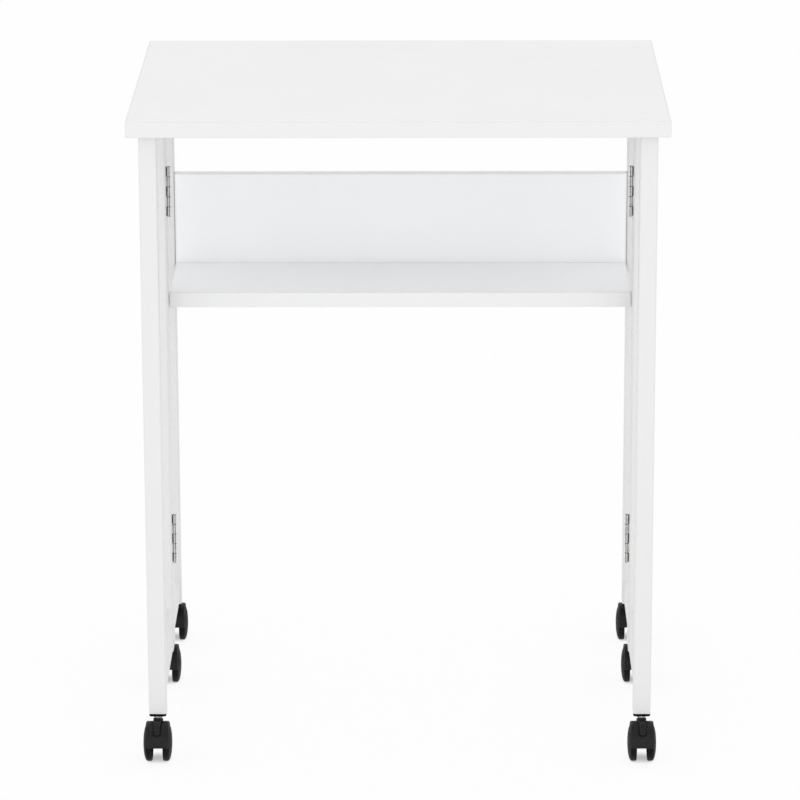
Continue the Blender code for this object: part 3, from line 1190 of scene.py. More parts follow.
@dataclass
class FrameScrews:
    """The heads that hold the shelf, the panel and the tie rail, from outside and from behind.

    Attributes:
        button: The heads on the rear frames.
        side_spots: Their Y and Z.
        pan: The heads on the back of the panel.
        back_x: Their X.
        back_height: Their Z.
        side_spin: How much each head on a frame is turned on from the one before, in radians.
        back_spin: The same for the heads on the panel.
    """

    button: ScrewHead = ScrewHead(0.0036, 0.0019, Drive.HEX)
    side_spots: tuple[Point, ...] = (
        (0.0462, 0.4780),
        (0.1915, 0.5000),
        (0.1915, 0.5700),
        (0.1955, 0.7090),
        (0.1955, 0.7240),
    )
    pan: ScrewHead = ScrewHead(0.0035, 0.0016, Drive.CROSS)
    back_x: tuple[float, ...] = (-0.2, 0.0, 0.2)
    back_height: float = 0.478
    side_spin: float = 0.7
    back_spin: float = 0.9

    def build(self, bench: Bench) -> None:
        """Build and place the heads, one piece for each side and one for the back.

        Args:
            bench: Where the pieces are placed.
        """
        for side in Side:
            outer_x = max((corner.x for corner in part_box(f"{side.word}_rear_frame")), key=abs)
            out = Vector((side.value, 0.0, 0.0))
            heads = []
            for index, (y, z) in enumerate(self.side_spots):
                place = Matrix.Translation((outer_x, y, z)) @ facing(out, self.side_spin * index)
                heads.append(moved(self.button.solid(), place))
            name = f"{side.word}_frame_screws"
            bench.piece(name, mesh_of(gathered(heads), name), NICKEL, "rear_frame")
        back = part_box("back_panel")[1].y
        heads = []
        for index, x in enumerate(self.back_x):
            turn = facing(Vector((0.0, 1.0, 0.0)), self.back_spin * index)
            heads.append(moved(self.pan.solid(), Matrix.Translation((x, back, self.back_height)) @ turn))
        bench.piece("panel_screws", mesh_of(gathered(heads), "panel_screws"), NICKEL, "rear_frame")


# Butt hinges

LeafMeshes = dict[int, tuple[bpy.types.Mesh, bpy.types.Mesh]]
LeafPlaces = dict[int, tuple[str, str, Matrix]]


@dataclass
class ButtHinges:
    """The gates' four hinges and the top's two, each with two rolled leaves, a pin and its screws.

    In a hinge's own axes the pin lies along Z, the screwed faces look to +X and the leaves reach to +Y
    and -Y. The gates' leaves lie close to the pin's plane, in the gap between the posts.

    Attributes:
        length: Length of the leaves.
        reach: How far a leaf reaches from the pin's axis.
        thick: Thickness of the leaf.
        knuckle: Outer radius of the knuckles.
        bore: Inner radius of the knuckles.
        knuckles: Number of knuckles.
        gap: Play between knuckles, and between a leaf and the other's knuckles.
        chamfer: Chamfer of the knuckles' ends.
        ease: Easing of a plate's edges.
        ease_over: The angle, in radians, above which an edge is eased or chamfered.
        seam: Width of the seam where a knuckle's roll closes.
        seam_angle: Place of the seam round the knuckle, in degrees.
        corner: Radius of a leaf's outer corners.
        sink: Depth of the screws' countersinks.
        cone: Radius of a countersink at the face and at its floor.
        screw: The screws' heads.
        screw_rows: Places of the screws along the leaf, and how far out each sits.
        screw_spin: Turn of the first screw, and how much each is turned on for its place and its leaf.
        pin_dome: The section of the pin's ends, as radii and heights.
    """

    length: float = 0.060
    reach: float = 0.016
    thick: float = 0.0012
    knuckle: float = 0.00275
    bore: float = 0.00155
    knuckles: int = 5
    gap: float = 0.0003
    chamfer: float = 0.0004
    ease: float = 0.00015
    ease_over: float = 1.2
    seam: float = 0.0007
    seam_angle: float = 15.0
    corner: float = 0.0016
    sink: float = 0.0007
    cone: Point = (0.0031, 0.0027)
    screw: ScrewHead = ScrewHead(0.0025, 0.0005, Drive.CROSS)
    screw_rows: tuple[Point, ...] = ((-0.0225, 0.0088), (0.0, 0.0112), (0.0225, 0.0088))
    screw_spin: Triple = (0.5, 0.8, 0.3)
    pin_dome: tuple[Point, ...] = ((0.0, 0.00062), (0.0006, 0.00056), (0.0011, 0.00036), (0.00138, 0.0))

    def _barrel(self, way: int) -> list[Point]:
        """Outline the rolled section of a knuckle, open at its seam.

        Args:
            way: 1 for the leaf towards +Y, -1 for the other.

        Returns:
            Points of X and Y.
        """
        steps = 36
        middle = math.radians(self.seam_angle) + (math.pi if way > 0 else 0.0)
        half = self.seam / 2 / self.knuckle
        sweep = 2 * (math.pi - half)
        angles = [middle + half + sweep * step / steps for step in range(steps + 1)]
        outer = [(self.knuckle * math.cos(angle), self.knuckle * math.sin(angle)) for angle in angles]
        inner = [(self.bore * math.cos(angle), self.bore * math.sin(angle)) for angle in reversed(angles)]
        return outer + inner

    def _plate(self, seat: float, way: int) -> Solid:
        """Make a leaf's plate with two rounded corners.

        Args:
            seat: X of the screwed face.
            way: 1 for the leaf towards +Y, -1 for the other.

        Returns:
            The solid.
        """
        start = way * (self.knuckle + 2 * self.gap)
        end = way * self.reach
        half = self.length / 2
        outline = [(start, -half)]
        steps = 6
        for sign in (-1, 1):
            for step in range(steps + 1):
                angle = step / steps * math.pi / 2
                sweep = angle if sign > 0 else math.pi / 2 - angle
                y = end - way * self.corner * (1 - math.cos(sweep))
                outline.append((y, sign * (half - self.corner * (1 - math.sin(sweep)))))
        outline.append((start, half))
        return ease_edges(prism(outline, seat - self.thick, seat), self.ease, 1, self.ease_over)

    def _screw_places(self, seat: float, way: int) -> list[Matrix]:
        """Give the places of a leaf's screws on its free face, with Z out of the face.

        Args:
            seat: X of the screwed face.
            way: 1 for the leaf towards +Y, -1 for the other.

        Returns:
            The places.
        """
        places = []
        for index, (z, y) in enumerate(self.screw_rows):
            start, step, side = self.screw_spin
            turn = facing(Vector((-1.0, 0.0, 0.0)), start + step * index + side * way)
            places.append(Matrix.Translation((seat - self.thick, way * y, z)) @ turn)
        return places

    def _leaf(self, seat: float, way: int) -> Solid:
        """Make one leaf: its plate, its rolled knuckles and the countersinks of its screws.

        Args:
            seat: X of the screwed face.
            way: 1 for the leaf towards +Y with three knuckles, -1 for the one with two.

        Returns:
            The leaf.
        """
        pitch = self.length / self.knuckles
        span = (pitch - self.gap) / 2
        slim = 0.00003
        inner_face = seat - self.thick
        root = math.sqrt(max(self.bore**2 - inner_face**2, 0.0)) + self.gap
        lap = self.knuckle + 2 * self.gap + 0.8 * self.thick
        rolled = []
        for index in range(0 if way > 0 else 1, self.knuckles, 2):
            middle = (index - (self.knuckles - 1) / 2) * pitch
            section = self._barrel(way)
            barrel = loft([ring_at(section, middle - span), ring_at(section, middle + span)])
            rolled.append(ease_edges(barrel, self.chamfer, 1, self.ease_over))
            low, high = middle - span + self.gap, middle + span - self.gap
            strip = [(way * root, low), (way * lap, low), (way * lap, high), (way * root, high)]
            rolled.append(prism(strip, inner_face + slim, seat - slim))
        wide, narrow = self.cone
        clear = 0.0005
        cone = [(0.0, clear), (wide, clear), (wide, 0.0), (narrow, -self.sink), (0.0, -self.sink)]
        sunk = [moved(lathe(cone, 28), place) for place in self._screw_places(seat, way)]
        return carved(self._plate(seat, way), rolled, sunk)

    def _pin(self) -> Solid:
        """Make the pin with a flat dome at each end.

        Returns:
            The solid.
        """
        half = self.length / 2
        top = [(radius, half + rise) for radius, rise in self.pin_dome]
        return lathe(top + [(radius, -height) for radius, height in reversed(top)], 24)

    def _screws(self, seat: float, way: int) -> Solid:
        """Make the three screw heads of one leaf, flush with its free face.

        Args:
            seat: X of the screwed face.
            way: 1 for the leaf towards +Y, -1 for the other.

        Returns:
            The heads, as one solid.
        """
        down = Matrix.Translation((0.0, 0.0, -self.sink))
        return gathered(moved(self.screw.solid(), place @ down) for place in self._screw_places(seat, way))

    def _hinge(self, bench: Bench, name: str, spot: Vector, meshes: LeafMeshes, leaves: LeafPlaces) -> None:
        """Place one hinge.

        Args:
            bench: Where its pieces are placed.
            name: The hinge's name.
            spot: The middle of its pin.
            meshes: A leaf and its screws, for each way that a leaf reaches.
            leaves: For each way, the leaf's word in the names, its body and its turn.
        """
        place = Matrix.Translation(spot)
        for way, (word, body, turn) in leaves.items():
            leaf, screws = meshes[way]
            node = f"{name}_{word}_leaf"
            bench.piece(f"{node}_rolled", leaf, NICKEL, body, place @ turn, node)
            bench.piece(f"{name}_{word}_screws", screws, NICKEL, body, place @ turn)
        _, body, turn = leaves[1]
        bench.piece(f"{name}_pin", self.pin, NICKEL, body, place @ turn)

    def _meshes(self, seat: float, kind: str) -> LeafMeshes:
        """Make the leaves and screws of one kind of hinge.

        Args:
            seat: X of the screwed face.
            kind: The kind's word in the meshes' names.

        Returns:
            A leaf and its screws, for each way that a leaf reaches.
        """
        made = {}
        for way in (1, -1):
            leaf = mesh_of(self._leaf(seat, way), f"{kind}_hinge_leaf")
            made[way] = (leaf, mesh_of(self._screws(seat, way), f"{kind}_hinge_screws"))
        return made

    def build(self, bench: Bench) -> None:
        """Build each kind of leaf once and place the six hinges.

        Args:
            bench: Where the pieces are placed.
        """
        self.pin = mesh_of(self._pin(), "hinge_pin")
        gate_meshes = self._meshes(self.gap / 2 + self.thick, "gate")
        top_meshes = self._meshes(self.knuckle, "top")
        for side in Side:
            out = (side.value, 0.0, 0.0)
            inwards = (-side.value, 0.0, 0.0)
            leaves = {
                1: ("frame", "rear_frame", turned_to((0.0, 1.0, 0.0), out)),
                -1: ("gate", f"{side.word}_gate", turned_to((0.0, -1.0, 0.0), inwards)),
            }
            for level in ("upper", "lower"):
                name = f"{side.word}_{level}_hinge"
                spot = joint_spot(f"{side.word}_gate_fold")
                spot.z = middle_of(f"{name}_gate_leaf").z
                self._hinge(bench, name, spot, gate_meshes, leaves)
            leaves = {
                1: ("rail", "rear_frame", turned_to((0.0, -1.0, 0.0), (0.0, 0.0, -1.0))),
                -1: ("top", "top", turned_to((0.0, 0.0, 1.0), (0.0, -1.0, 0.0))),
            }
            name = f"{side.word}_top_hinge"
            spot = joint_spot("top_flip")
            spot.x = middle_of(f"{name}_top_leaf").x
            self._hinge(bench, name, spot, top_meshes, leaves)


# Casters


@dataclass
class Casters:
    """The six twin-wheel casters; the front two face forwards and carry brake pedals.

    In a caster's own axes the stem lies on Z and the wheels trail along +Y.

    Attributes:
        trail: How far the axle lies behind the stem.
        wheel_radius: Radius of the new wheels, and height of the axle.
        tread_wear: How much of that radius is worn off.
        wheel_width: Width of one wheel at the crown of its cheek.
        wheel_inner: X of a wheel's inner face.
        roundness: Exponent of the cheek's curve, from 2 for an ellipse to more for a fuller one.
        axle: Radius of the axle.
        hood: Greatest radius of the hood about the axle.
        hood_lip: Radius of the hood at its open sides.
        hood_bore: Inner radius of the hood.
        hood_half: Half of the hood's width.
        shoulder: Width of the hood's rounded shoulders.
        shoulder_power: Exponent of the shoulders' curve, as for the cheek's.
        skirt: Height of the hood's lower edge.
        web_half: Half of the thickness of the web between the wheels.
        stem: Radius of the stem.
        boss: Radius of the hood's boss round the stem.
        boss_top: Height of the boss's upper face.
        channel: Half width and floor radius of the channel that the pedal lies in.
        pedal: Inner and outer radius of the pedal about the axle.
        pedal_half: Half of the pedal's width at its root and at its tip.
        pedal_arc: Where the pedal starts and ends about the axle, in degrees.
        hub: Y and Z of the pedal's pivot.
        hub_radius: Radius of the pedal's hub.
        trunnion: Radius of the trunnions on both sides of it.
        ear: X of the inner and outer face of the ears that hold them.
        collar: Height of the lower and upper face of the stem's collar.
        play: Play between parts that move on each other.
        pivot_play: Play round the trunnions.
    """

    trail: float = 0.015
    wheel_radius: float = 0.0215
    tread_wear: float = 0.00002
    wheel_width: float = 0.0102
    wheel_inner: float = 0.0062
    roundness: float = 2.2
    axle: float = 0.0025
    hood: float = 0.0243
    hood_lip: float = 0.0229
    hood_bore: float = 0.0225
    hood_half: float = 0.0133
    shoulder: float = 0.0019
    shoulder_power: float = 2.3
    skirt: float = 0.0225
    web_half: float = 0.0057
    stem: float = 0.0035
    boss: float = 0.0057
    boss_top: float = 0.0452
    channel: Point = (0.0047, 0.0234)
    pedal: Point = (0.0249, 0.0269)
    pedal_half: Point = (0.0042, 0.0033)
    pedal_arc: Point = (98.0, 37.0)
    hub: Point = (0.0115, 0.0477)
    hub_radius: float = 0.0016
    trunnion: float = 0.0010
    ear: Point = (0.0033, 0.0049)
    collar: Point = (0.0457, 0.0475)
    play: float = 0.0003
    pivot_play: float = 0.0002

    def _about_axle(self, x: float, radius: float, degrees: float) -> Vector:
        """Give the point at a radius and an angle about the axle, from 0 at the back to 90 on top.

        Args:
            x: X of the point.
            radius: Its distance from the axle.
            degrees: Its angle.

        Returns:
            The point.
        """
        angle = math.radians(degrees)
        y = self.trail + radius * math.cos(angle)
        return Vector((x, y, self.wheel_radius + radius * math.sin(angle)))

    def _on_axle(self, solid: Solid) -> Solid:
        """Lay a turned solid along the axle."""
        return moved(solid, Matrix.Translation((0.0, self.trail, self.wheel_radius)) @ Axis.X.turn)

    def _crown(self, x: float) -> float:
        """Give the hood's outer radius at one X: level in the middle, rounded at the shoulders.

        Args:
            x: The X.

        Returns:
            The radius.
        """
        into = max(abs(x) - (self.hood_half - self.shoulder), 0.0) / self.shoulder
        power = self.shoulder_power
        return self.hood_lip + (self.hood - self.hood_lip) * (1 - min(into, 1.0) ** power) ** (1 / power)

    def _swept(self, section: Sequence[Point], first: float, last: float, steps: int) -> list[list[Vector]]:
        """Sweep a section of X and radius about the axle, between two angles in degrees."""
        angles = [first + (last - first) * step / steps for step in range(steps + 1)]
        return [[self._about_axle(x, radius, angle) for x, radius in section] for angle in angles]

    def _over_wheels(self, section: Sequence[Point], radius: float, steps: int) -> list[list[Vector]]:
        """Sweep a section over the wheels, from the skirt's height at a radius to that on the far side."""
        start = math.degrees(math.asin((self.skirt - self.wheel_radius) / radius))
        return self._swept(section, start, 180.0 - start, steps)

    def _shell(self) -> Solid:
        """Make the hood's barrel, as a thin section swept over the wheels.

        Returns:
            The solid.
        """
        count, steps = 25, 44
        spots = [self.hood_half * math.sin((index / (count - 1) - 0.5) * math.pi) for index in range(count)]
        section = [(x, self._crown(x)) for x in spots] + [(x, self.hood_bore) for x in reversed(spots)]
        return loft(self._over_wheels(section, self.hood, steps), strip_ends=True)

    def _web(self) -> Solid:
        """Make the half disc between the wheels.

        Returns:
            The solid.
        """
        radius, steps = (self.hood + self.hood_bore) / 2, 36
        outline = [(ring[0].y, ring[0].z) for ring in self._over_wheels([(0.0, radius)], radius, steps)]
        return prism(outline, -self.web_half, self.web_half)

    def _channel(self) -> Solid:
        """Make the cutter of the shallow channel that the pedal lies in.

        Returns:
            The solid.
        """
        half, low = self.channel
        clear, steps = 0.003, 24
        past_root, past_tip = 3.0, 1.3
        high = self.pedal[1] + clear
        section = ((-half, low), (half, low), (half, high), (-half, high))
        root, tip = self.pedal_arc
        return loft(self._swept(section, tip - past_tip, root + past_root, steps))

    def _ear(self, sign: int) -> Solid:
        """Make one of the ears that hold the pedal's trunnions.

        Args:
            sign: 1 for the ear towards +X, -1 for the other.

        Returns:
            The solid.
        """
        y, z = self.hub
        radius, base, steps = 0.0020, 0.0436, 12
        rounded = [math.pi * step / steps for step in range(steps + 1)]
        outline = [(y + radius * math.cos(a), z + radius * math.sin(a)) for a in rounded]
        outline += [(y - radius, base), (y + radius, base)]
        low, high = sorted(sign * x for x in self.ear)
        return prism(outline, low, high)

    def _hood(self, braked: bool) -> Solid:
        """Make a hood with its web, bosses and holes, and the pedal's ears where it is braked.

        Args:
            braked: True for the hood that carries a pedal.

        Returns:
            The solid.
        """
        boss_base, axle_boss = 0.030, 0.005
        hole_floor, hole_depth, through = 0.0222, 0.030, 0.040
        rounding = ((0.0012, 0.0), (0.0004, 0.0003), (0.0, 0.0011))
        profile = [(0.0, self.boss_top)]
        profile += [(self.boss - inset, self.boss_top - drop) for inset, drop in rounding]
        profile += [(self.boss, boss_base), (0.0, boss_base)]
        joined = [lathe(profile, 36), self._on_axle(bar(axle_boss, 2 * self.web_half - self.play))]
        stem_hole = shifted(bar(self.stem + self.play, hole_depth), z=hole_floor + hole_depth / 2)
        cut = [stem_hole, self._on_axle(bar(self.axle + self.play, through))]
        shell = carved(self._shell(), [self._web()])
        if braked:
            y, z = self.hub
            shell = carved(shell, cut=[self._channel()])
            joined += [self._ear(-1), self._ear(1)]
            pivot = moved(bar(self.trunnion + self.pivot_play, through / 2, sides=20), Axis.X.turn)
            cut.append(shifted(pivot, y=y, z=z))
        return carved(shell, joined, cut)

    def _pedal(self) -> Solid:
        """Make the pedal: a curved tongue with grip ridges, a neck, a hub and trunnions.

        Returns:
            The solid.
        """
        inner, outer = self.pedal
        thick = outer - inner - self.play
        root_half, tip_half = self.pedal_half
        neck_half = 0.00285
        tip_radius = 0.0018
        ridge_height = 0.00028
        least_half, edge = 0.0012, 0.0005
        neck_end, flare = 91.2, 1.4
        first, last = self.pedal_arc
        ridge_start, ridge_end, ridges = last + 3.5, last + 19.0, 4
        steps = 80
        rings = []
        for step in range(steps + 1):
            degrees = first + (last - first) * step / steps
            along = min(max((neck_end - degrees) / (neck_end - last), 0.0), 1.0)
            widened = min(max((neck_end - degrees) / flare, 0.0), 1.0)
            half = neck_half + (root_half + (tip_half - root_half) * along - neck_half) * widened
            to_end = math.radians(degrees - last) * outer
            if to_end < tip_radius:
                half -= tip_radius - math.sqrt(max(tip_radius**2 - (tip_radius - to_end) ** 2, 0.0))
            phase = (degrees - ridge_start) / (ridge_end - ridge_start)
            ridge = ridge_height * max(math.sin(phase * ridges * math.pi), 0.0) if 0.0 < phase < 1.0 else 0.0
            outline = rounded_rectangle((2 * max(half, least_half), thick + ridge), edge, steps=3)
            middle = inner + (thick + ridge) / 2
            rings.append([self._about_axle(x, middle + rise, degrees) for x, rise in outline])
        y, z = self.hub
        set_back, hub_chamfer, trunnion_chamfer = 0.0001, 0.0003, 0.0002
        hub_length, whole_length = 2 * (self.ear[0] - self.play), 2 * (self.ear[1] - set_back)
        hub = moved(bar(self.hub_radius, hub_length, hub_chamfer), Axis.X.turn)
        trunnions = moved(bar(self.trunnion, whole_length, trunnion_chamfer, 20), Axis.X.turn)
        return carved(loft(rings), [shifted(hub, y=y, z=z), shifted(trunnions, y=y, z=z)])

    def _wheel(self) -> Solid:
        """Make a wheel about Z: a hollow ribbed inner side at 0 and a domed cheek on top.

        Returns:
            The solid.
        """
        radius = self.wheel_radius - self.tread_wear
        base = self.wheel_width / 2
        power = self.roundness

        def cheek(at: float, sunk: float = 0.0) -> Point:
            """Give the point of the domed cheek at a radius, sunk below it where a groove runs."""
            rise = (1 - (at / radius) ** power) ** (1 / power)
            return at, base + (self.wheel_width - base) * rise - sunk

        groove, groove_depth, groove_end, cheek_from = 0.0132, 0.0008, 0.0013, 0.0022
        cap, cap_slope = 0.0034, 0.0006
        dish = self.wheel_width - groove_depth
        profile = [(0.0, dish), (cap - cap_slope, dish), cheek(cap)]
        profile += [cheek(groove * share) for share in (0.40, 0.55, 0.70, 0.85, 0.97, 1.0)]
        profile += [cheek(groove + across, groove_depth) for across in (0.0003, 0.0010)]
        profile.append(cheek(groove + groove_end))
        steps = 14
        start = math.asin((groove + cheek_from) / radius)
        for step in range(steps + 1):
            profile.append(cheek(radius * math.sin(start + (math.pi / 2 - start) * step / steps)))
        rounding = ((0.0, 0.0012), (0.0003, 0.0005), (0.0011, 0.0))
        profile += [(radius - inset, height) for inset, height in rounding]
        rim, edge, draft = 0.0030, 0.0004, 0.0002
        well, well_floor, hub = radius - rim, 0.0050, 0.0054
        profile += [(well + edge, 0.0), (well, edge), (well - draft, well_floor), (hub, well_floor)]
        hub_face, hole, hole_end = 0.0002, self.axle + self.play, 0.0072
        profile += [(hub - draft, hub_face), (hole, hub_face), (hole, hole_end), (0.0, hole_end)]
        ribs = []
        hub_lap, rim_lap, floor_lap = 0.0008, 0.0003, 0.0006
        rib_half, low, high = 0.0006, 0.0012, well_floor + floor_lap
        inner, outer = hub - hub_lap, well + rim_lap
        for sixth in range(6):
            rib = prism([(inner, low), (outer, low), (outer, high), (inner, high)], -rib_half, rib_half)
            ribs.append(moved(rib, Matrix.Rotation(sixth * math.pi / 3, 4, "Z")))
        return carved(lathe(profile, 72), ribs)

    def _stem(self) -> Solid:
        """Make the steel stem with its collar and its retaining groove.

        Returns:
            The solid.
        """
        chamfer, tip_chamfer = 0.0003, 0.001
        collar, waist = 0.0055, 0.0006
        low, high = self.collar
        foot, tip = (corner.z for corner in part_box("left_front_caster_stem"))
        groove_drop, groove_rows = 0.0085, ((0.0, 0.002), (waist, 0.0015), (waist, 0.0), (0.0, -0.0005))
        groove = tip - groove_drop
        r = self.stem
        profile = [(0.0, tip), (r - tip_chamfer, tip), (r, tip - tip_chamfer)]
        profile += [(r - inset, groove + rise) for inset, rise in groove_rows]
        profile += [(r, high), (collar - chamfer, high)]
        profile += [(collar, high - chamfer), (collar, low + chamfer), (collar - chamfer, low), (r, low)]
        profile += [(r, foot), (0.0, foot)]
        return lathe(profile, 32)

    def _insert(self) -> Solid:
        """Make the plug that closes a post's foot: a rounded flange, a body and the stem's bore.

        Returns:
            The solid.
        """
        low, tip = (corner.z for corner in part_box("left_front_caster_insert"))
        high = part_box("left_gate_frame")[0].z - self.play
        side, corner = 0.0194, 0.0022
        body_side, body_corner = 0.0163, 0.0008
        lap, lead, tip_corner = 0.0012, 0.001, 0.0006
        rounding = ((0.0030, 0.0), (0.0009, 0.0), (0.0004, 0.0002), (0.0001, 0.0006), (0.0, 0.0010))
        rows = [(inset, low + rise) for inset, rise in rounding] + [(0.0, high)]
        flange = stacked(
            (((side - 2 * inset, side - 2 * inset), corner, height) for inset, height in rows), steps=6
        )
        square, tapered = (body_side, body_side), (body_side - lead, body_side - lead)
        body = stacked(
            (
                (square, body_corner, high - lap),
                (square, body_corner, tip - lead),
                (tapered, tip_corner, tip),
            )
        )
        bore_length, bore_past = 0.040, 0.013
        bore = shifted(bar(self.stem + self.play, bore_length), z=tip + bore_past - bore_length / 2)
        return carved(loft(flange), [loft(body)], [bore])

    def build(self, bench: Bench) -> None:
        """Build each shape once and place the six casters.

        Args:
            bench: Where the pieces are placed.
        """
        hoods = {braked: mesh_of(self._hood(braked), f"hood_{braked}") for braked in (True, False)}
        wheel = mesh_of(self._wheel(), "wheel", sharp=40.0)
        stem = mesh_of(self._stem(), "stem")
        insert = mesh_of(self._insert(), "insert")
        pedal = mesh_of(self._pedal(), "pedal")
        for side in Side:
            for row in Row:
                front = row is Row.FRONT
                name = f"{side.word}_{row.value}_caster"
                post = middle_of(f"{name}_insert")
                foot = Matrix.Translation((post.x, post.y, 0.0))
                swivel = foot @ Matrix.Rotation(math.pi if front else 0.0, 4, "Z")
                carrier = f"{side.word}_gate" if front else "rear_frame"
                bench.piece(f"{name}_post_plug", insert, PLUG_BLACK, carrier, foot, f"{name}_insert")
                bench.piece(f"{name}_turned_stem", stem, STEM_CHROME, name, swivel, f"{name}_stem")
                bench.piece(f"{name}_moulded_hood", hoods[front], CASTER_BLACK, name, swivel, f"{name}_hood")
                bench.dress(f"{name}_axle", NICKEL)
                for which in Side:
                    hand = which.value * (-1 if front else 1)
                    hub = Matrix.Translation((hand * self.wheel_inner, self.trail, self.wheel_radius))
                    place = swivel @ hub @ Matrix.Rotation(hand * math.pi / 2, 4, "Y")
                    body = f"{side.word}_{row.value}_{which.word}_wheel"
                    node = f"{name}_{which.word}_wheel"
                    bench.piece(f"{node}_ribbed", wheel, WHEEL_BLACK, body, place, node)
                if front:
                    node = f"{name}_brake_pedal"
                    body = f"{side.word}_front_brake"
                    bench.piece(f"{node}_tongue", pedal, CASTER_BLACK, body, swivel, node)


# Studio


@dataclass(frozen=True)
class Lamp:
    """A soft rectangular lamp.

    Attributes:
        name: The lamp's name.
        spot: Where it hangs.
        aim: The point that it faces.
        size: Its width and height.
        power: Its power in watts.
    """

    name: str
    spot: Triple
    aim: Triple
    size: Point
    power: float

    def hang(self) -> None:
        """Put the lamp in the scene."""
        data = bpy.data.lights.new(self.name, "AREA")
        data.shape = "RECTANGLE"
        data.size, data.size_y = self.size
        data.energy = self.power
        lamp = bpy.data.objects.new(self.name, data)
        bpy.context.scene.collection.objects.link(lamp)
        lamp.visible_camera = False
        look = (Vector(self.aim) - Vector(self.spot)).to_track_quat("-Z", "Y")
        lamp.matrix_world = Matrix.Translation(self.spot) @ look.to_matrix().to_4x4()


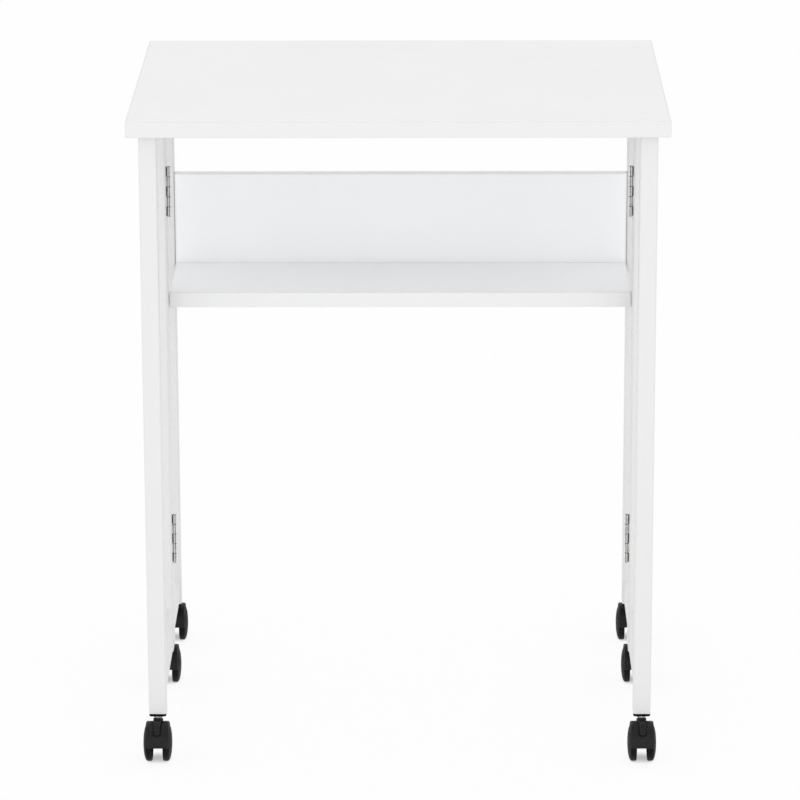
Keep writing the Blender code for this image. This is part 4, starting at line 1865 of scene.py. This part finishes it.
@dataclass
class Studio:
    """The pale floor, the soft light and the camera at the photograph's viewpoint.

    Attributes:
        focal: Focal length in pixels.
        pixels: Width of the frame in pixels.
        sensor: Width of the sensor in millimetres.
        turn: Turn of the camera to the left, in radians.
        pitch: Tilt of the camera downwards, in radians.
        roll: Roll of the camera, in radians.
        spot: Place of the camera.
        far: How far the camera sees.
        fill: Strength of the room's even light.
        lamps: The softboxes in front of the desk.
        floor_tone: White of the floor, in the light that it throws back.
        floor_glow: How much of the floor that is seen is plain white.
        floor_reach: Half of the floor's width.
        contact_reach: How far the shadow of the wheels reaches.
        contact_lean: How far that shadow leans away from the front light, in degrees.
        contact_open: How open the floor is at its darkest and where the shadow ends.
        contact_dark: The shadow's darkest tone.
    """

    focal: float = 4394.6
    pixels: float = 800.0
    sensor: float = 36.0
    turn: float = 0.00685
    pitch: float = 0.28144
    roll: float = -0.00255
    spot: Triple = (0.0337, -4.9365, 1.7956)
    far: float = 100.0
    fill: float = 1.0
    lamps: tuple[Lamp, ...] = (
        Lamp("low_softbox", (0.0, -3.2, 0.85), (0.0, 0.0, 0.55), (3.4, 1.6), 8.5),
        Lamp("high_softbox", (0.0, -3.2, 2.2), (0.0, 0.0, 0.50), (3.4, 1.6), 9.0),
    )
    floor_tone: float = 0.90
    floor_glow: float = 0.90
    floor_reach: float = 30.0
    contact_reach: float = 0.040
    contact_lean: float = 32.0
    contact_open: Point = (0.15, 0.57)
    contact_dark: float = 0.46

    def _camera(self) -> None:
        """Make the camera."""
        data = bpy.data.cameras.new("photo_camera")
        data.sensor_width = self.sensor
        data.lens = self.focal / self.pixels * self.sensor
        data.clip_end = self.far
        camera = bpy.data.objects.new("photo_camera", data)
        bpy.context.scene.collection.objects.link(camera)
        aim = Matrix.Rotation(self.turn, 4, "Z") @ Matrix.Rotation(math.pi / 2 - self.pitch, 4, "X")
        camera.matrix_world = Matrix.Translation(self.spot) @ aim @ Matrix.Rotation(self.roll, 4, "Z")
        bpy.context.scene.camera = camera

    @staticmethod
    def _seen(nodes: bpy.types.Nodes, links: bpy.types.NodeLinks) -> Socket:
        """Add the nodes that tell a ray that shows the background from one that only lights.

        Args:
            nodes: The nodes to add to.
            links: The links between them.

        Returns:
            1 for a ray that shows the background, 0 for another.
        """
        path = nodes.new("ShaderNodeLightPath")
        either = nodes.new("ShaderNodeMath")
        either.operation = "MAXIMUM"
        links.new(path.outputs["Is Camera Ray"], either.inputs[0])
        links.new(path.outputs["Is Glossy Ray"], either.inputs[1])
        every = nodes.new("ShaderNodeMath")
        every.operation = "MAXIMUM"
        links.new(either.outputs["Value"], every.inputs[0])
        links.new(path.outputs["Is Transmission Ray"], every.inputs[1])
        return every.outputs["Value"]

    def _world(self) -> None:
        """Make the even light of the room, which is also the white seen behind the desk."""
        world = bpy.data.worlds.new("room")
        bpy.context.scene.world = world
        world.use_nodes = True
        nodes, links = world.node_tree.nodes, world.node_tree.links
        nodes.clear()
        room = nodes.new("ShaderNodeBackground")
        room.inputs["Color"].default_value = (1.0, 1.0, 1.0, 1.0)
        room.inputs["Strength"].default_value = self.fill
        output = nodes.new("ShaderNodeOutputWorld")
        links.new(room.outputs[0], output.inputs["Surface"])

    def _floor(self) -> None:
        """Lay the floor, white to the eye but for the shadow where the wheels stand."""
        solid = bmesh.new()
        bmesh.ops.create_grid(solid, x_segments=8, y_segments=8, size=self.floor_reach)
        mesh = bpy.data.meshes.new("studio_floor")
        solid.to_mesh(mesh)
        solid.free()
        material = bpy.data.materials.new("floor_white")
        material.use_nodes = True
        nodes, links = material.node_tree.nodes, material.node_tree.links
        nodes.clear()
        matte = nodes.new("ShaderNodeBsdfDiffuse")
        matte.inputs["Color"].default_value = (self.floor_tone, self.floor_tone, self.floor_tone, 1.0)
        lean = nodes.new("ShaderNodeCombineXYZ")
        lean.inputs["Y"].default_value = -math.sin(math.radians(self.contact_lean))
        lean.inputs["Z"].default_value = math.cos(math.radians(self.contact_lean))
        contact = nodes.new("ShaderNodeAmbientOcclusion")
        contact.inputs["Distance"].default_value = self.contact_reach
        shade = nodes.new("ShaderNodeMapRange")
        for name, number in zip(("From Min", "From Max", "To Min"), (*self.contact_open, self.contact_dark)):
            shade.inputs[name].default_value = number
        glow = nodes.new("ShaderNodeEmission")
        share = nodes.new("ShaderNodeMapRange")
        share.inputs["To Max"].default_value = self.floor_glow
        choose = nodes.new("ShaderNodeMixShader")
        output = nodes.new("ShaderNodeOutputMaterial")
        for source, target in (
            (lean.outputs["Vector"], contact.inputs["Normal"]),
            (contact.outputs["AO"], shade.inputs["Value"]),
            (shade.outputs["Result"], glow.inputs["Strength"]),
            (self._seen(nodes, links), share.inputs["Value"]),
            (share.outputs["Result"], choose.inputs[0]),
            (matte.outputs[0], choose.inputs[1]),
            (glow.outputs[0], choose.inputs[2]),
            (choose.outputs[0], output.inputs["Surface"]),
        ):
            links.new(source, target)
        mesh.materials.append(material)
        floor = bpy.data.objects.new("studio_floor", mesh)
        bpy.context.scene.collection.objects.link(floor)

    def build(self) -> None:
        """Set the studio up."""
        bpy.context.scene.view_settings.view_transform = "Standard"
        self._camera()
        self._world()
        self._floor()
        for lamp in self.lamps:
            lamp.hang()
        LOG.info("studio ready")


def main() -> None:
    """Build the desk's sub-assemblies and the studio, in order."""
    logging.basicConfig(level=logging.INFO, format="%(message)s")
    bench = Bench()
    Studio().build()
    for assembly in (Boards(), TubeFrames(), ButtHinges(), Casters(), FrameScrews()):
        LOG.info("building %s", type(assembly).__name__)
        assembly.build(bench)


if __name__ == "__main__":
    main()
